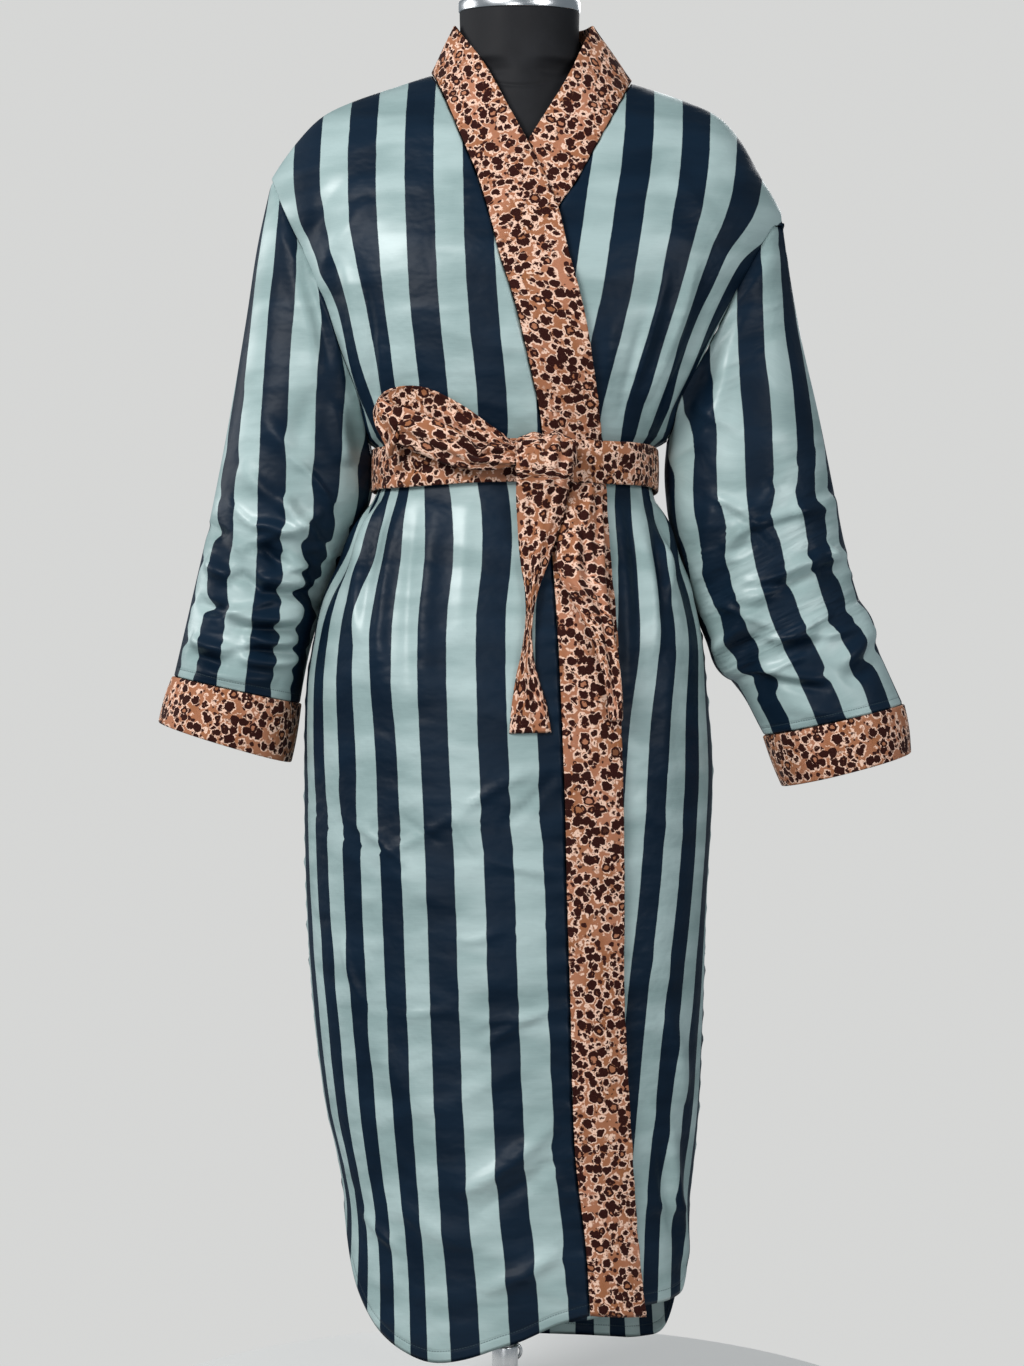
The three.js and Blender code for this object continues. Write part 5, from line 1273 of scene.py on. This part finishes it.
belt_strip("belt_loop_cloth", bow_loop, 190, 42.0, [
    (4, -16, 20, 62, 3.5, 4.2, 3), (13, -20, 30, 50, 3.2, -4, 2), (22, -16, 36, 70, 3.4, 3.4, 2),
    (34, -14, 24, 46, 3.2, -3, -2), (8, 40, 14, 120, 5, -2, 2), (24, 60, 30, 130, 6, 2, -2),
    (36, 30, 38, 150, 2.2, -1.6, 0), (30, 190, 12, 268, 4, -2.5, 2),
], "belt_loop", 20, 268.0)
belt_strip("belt_tail_behind", tail_behind, 110, 38.0, [
    (10, -10, 22, 100, 3.5, -4.4, 3), (28, -10, 14, 110, 4, 4.2, -3), (24, 96, 12, 222, 4, -3.8, 3),
    (6, 80, 24, 150, 4, 3.8, 2), (32, 110, 27, 222, 3.4, 3.2, 2), (34, -6, 30, 90, 3, -3, 0),
    (18, 40, 34, 160, 2.6, -3, 2), (31, 90, 22, 222, 2.4, -2.6, -2),
], "belt_tail_2", 40, 222.0)
knot_lift = band_lift + belt_clear + belt_proud + plush_thickness + seam_gap
knot_back = front_spot(np.array([36.0]), np.array([waist]), np.array([knot_lift]))[0, 1]
knot_shape = table("x high deep", [
    (8, 8, 3), (10, 14, 6), (14, 18, 8), (22, 20, 9.2), (34, 20.6, 9.6), (46, 20.6, 9.4), (54, 19.6, 8.8),
    (60, 17, 7.6), (64, 13, 6), (66, 7, 3),
])
# The knot is a row of ovals along a level line, ridged where the turns of the belt cross it.
knot_x = np.linspace(knot_shape["x"][0], knot_shape["x"][-1], 96)[:, None]
knot_angle = np.linspace(0.0, 2 * np.pi, 129)[None, :]
knot_high = read(knot_shape, "x", "high", knot_x)
knot_deep = read(knot_shape, "x", "deep", knot_x)
wraps = 1.7 * np.sin(knot_x / 3.4 + 2.4 * np.sin(knot_angle)) * np.sin(np.pi * (knot_x - 8) / 58)
knot_up = signed_power(np.cos(knot_angle), 0.8) * (knot_high + wraps)
knot_forward = signed_power(np.sin(knot_angle), 0.8) * (knot_deep + 0.7 * wraps)
knot_y = knot_back - 11.5 - knot_forward
knot_points = np.stack([knot_x + 0 * knot_up, knot_y, waist + 4 + knot_up], axis=2)
knot_start = knot_points[:1] * 0 + knot_points[:1, :-1].mean(axis=1)
knot_end = knot_points[-1:] * 0 + knot_points[-1:, :-1].mean(axis=1)
knot_points = np.concatenate([knot_start, knot_points, knot_end])
knot = grid_mesh("belt_knot_body", knot_points, plush, flat=map_of(knot_points)["cloth"])
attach(knot, "root")
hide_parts("belt_knot")
belt_strip("belt_tail_in_front", tail_in_front, 190, 44.0, [
    (8, -16, 17, 96, 4, 3, 3), (17, -16, 22, 80, 3.2, -3.4, -2), (28, -14, 26, 110, 4, 2.8, 3),
    (36, -10, 30, 140, 3.2, -2.8, 2), (6, 80, 18, 180, 4, -2.4, 2), (24, 100, 22, 215, 4, 2.6, 2),
    (38, 60, 28, 170, 3.4, 2.4, 2), (14, 165, 20, 240, 3.2, -3, 0), (30, 160, 24, 245, 4, 2.4, 0),
    (12, 240, 18, 310, 4.5, 1.8, 2), (30, 240, 27, 310, 4.5, -1.8, 2), (14, 42, 30, 58, 3.2, -2, 2),
], "belt_tail_1", 60, 310.0)


# Studio: a round pale floor, a soft key light from the upper left and a fill from the right in front,
# a low light in front, and two lights behind, in the middle and at the left. It is not part of the robe.
def plain_finish(name, tone, roughness):
    """A plain matt surface."""
    finish = Finish(name)
    return finish.close(Base_Color=tone, Roughness=roughness)


floor_turn = np.linspace(0.0, 2 * np.pi, 129)
floor_radius = np.array([[0.0], [420.0]])
floor_x = floor_radius * np.cos(floor_turn)
floor_y = floor_radius * np.sin(floor_turn)
floor_points = np.stack([floor_x, floor_y, 0 * floor_x], axis=2)
floor_paint = plain_finish("floor_paint", (0.74, 0.73, 0.71, 1.0), 0.9)
floor = grid_mesh("floor", floor_points, floor_paint, flipped=True)
for name, place, aim, size, power in (
    ("key_light", (-1.7, -2.2, 2.3), (0.0, 0.0, 0.8), 1.35, 84.0),
    ("fill_light", (2.1, -2.3, 1.5), (0.0, 0.0, 0.7), 1.4, 31.0),
    ("low_light", (-0.6, -2.9, 0.5), (0.0, 0.0, 0.6), 1.2, 11.0),
    ("back_light", (0.5, 2.3, 2.2), (0.0, 0.0, 0.8), 1.8, 30.0),
    ("side_light", (-2.6, 0.9, 1.6), (0.0, 0.0, 0.8), 1.6, 22.0),
):
    lamp = bpy.data.lights.new(name, "AREA")
    lamp.shape = "DISK"
    lamp.size = size
    lamp.energy = power
    light = bpy.data.objects.new(name, lamp)
    light.location = place
    toward = np.array(aim) - np.array(place)
    tip = np.arccos(-toward[2] / np.linalg.norm(toward))
    light.rotation_euler = (tip, 0.0, np.arctan2(toward[1], toward[0]) - np.pi / 2)
    bpy.context.scene.collection.objects.link(light)
air = bpy.data.worlds.new("studio_air")
air.use_nodes = True
nodes = air.node_tree.nodes
shine = nodes["Background"]
shine.inputs["Color"].default_value = (0.78, 0.9, 1.0, 1.0)
shine.inputs["Strength"].default_value = 0.24
seen = nodes.new("ShaderNodeBackground")
seen.inputs["Color"].default_value = (0.672, 0.676, 0.668, 1.0)
ray = nodes.new("ShaderNodeLightPath")
either = nodes.new("ShaderNodeMixShader")
links = air.node_tree.links
links.new(ray.outputs["Is Camera Ray"], either.inputs[0])
links.new(shine.outputs[0], either.inputs[1])
links.new(seen.outputs[0], either.inputs[2])
links.new(either.outputs[0], nodes["World Output"].inputs["Surface"])
bpy.context.scene.world = air
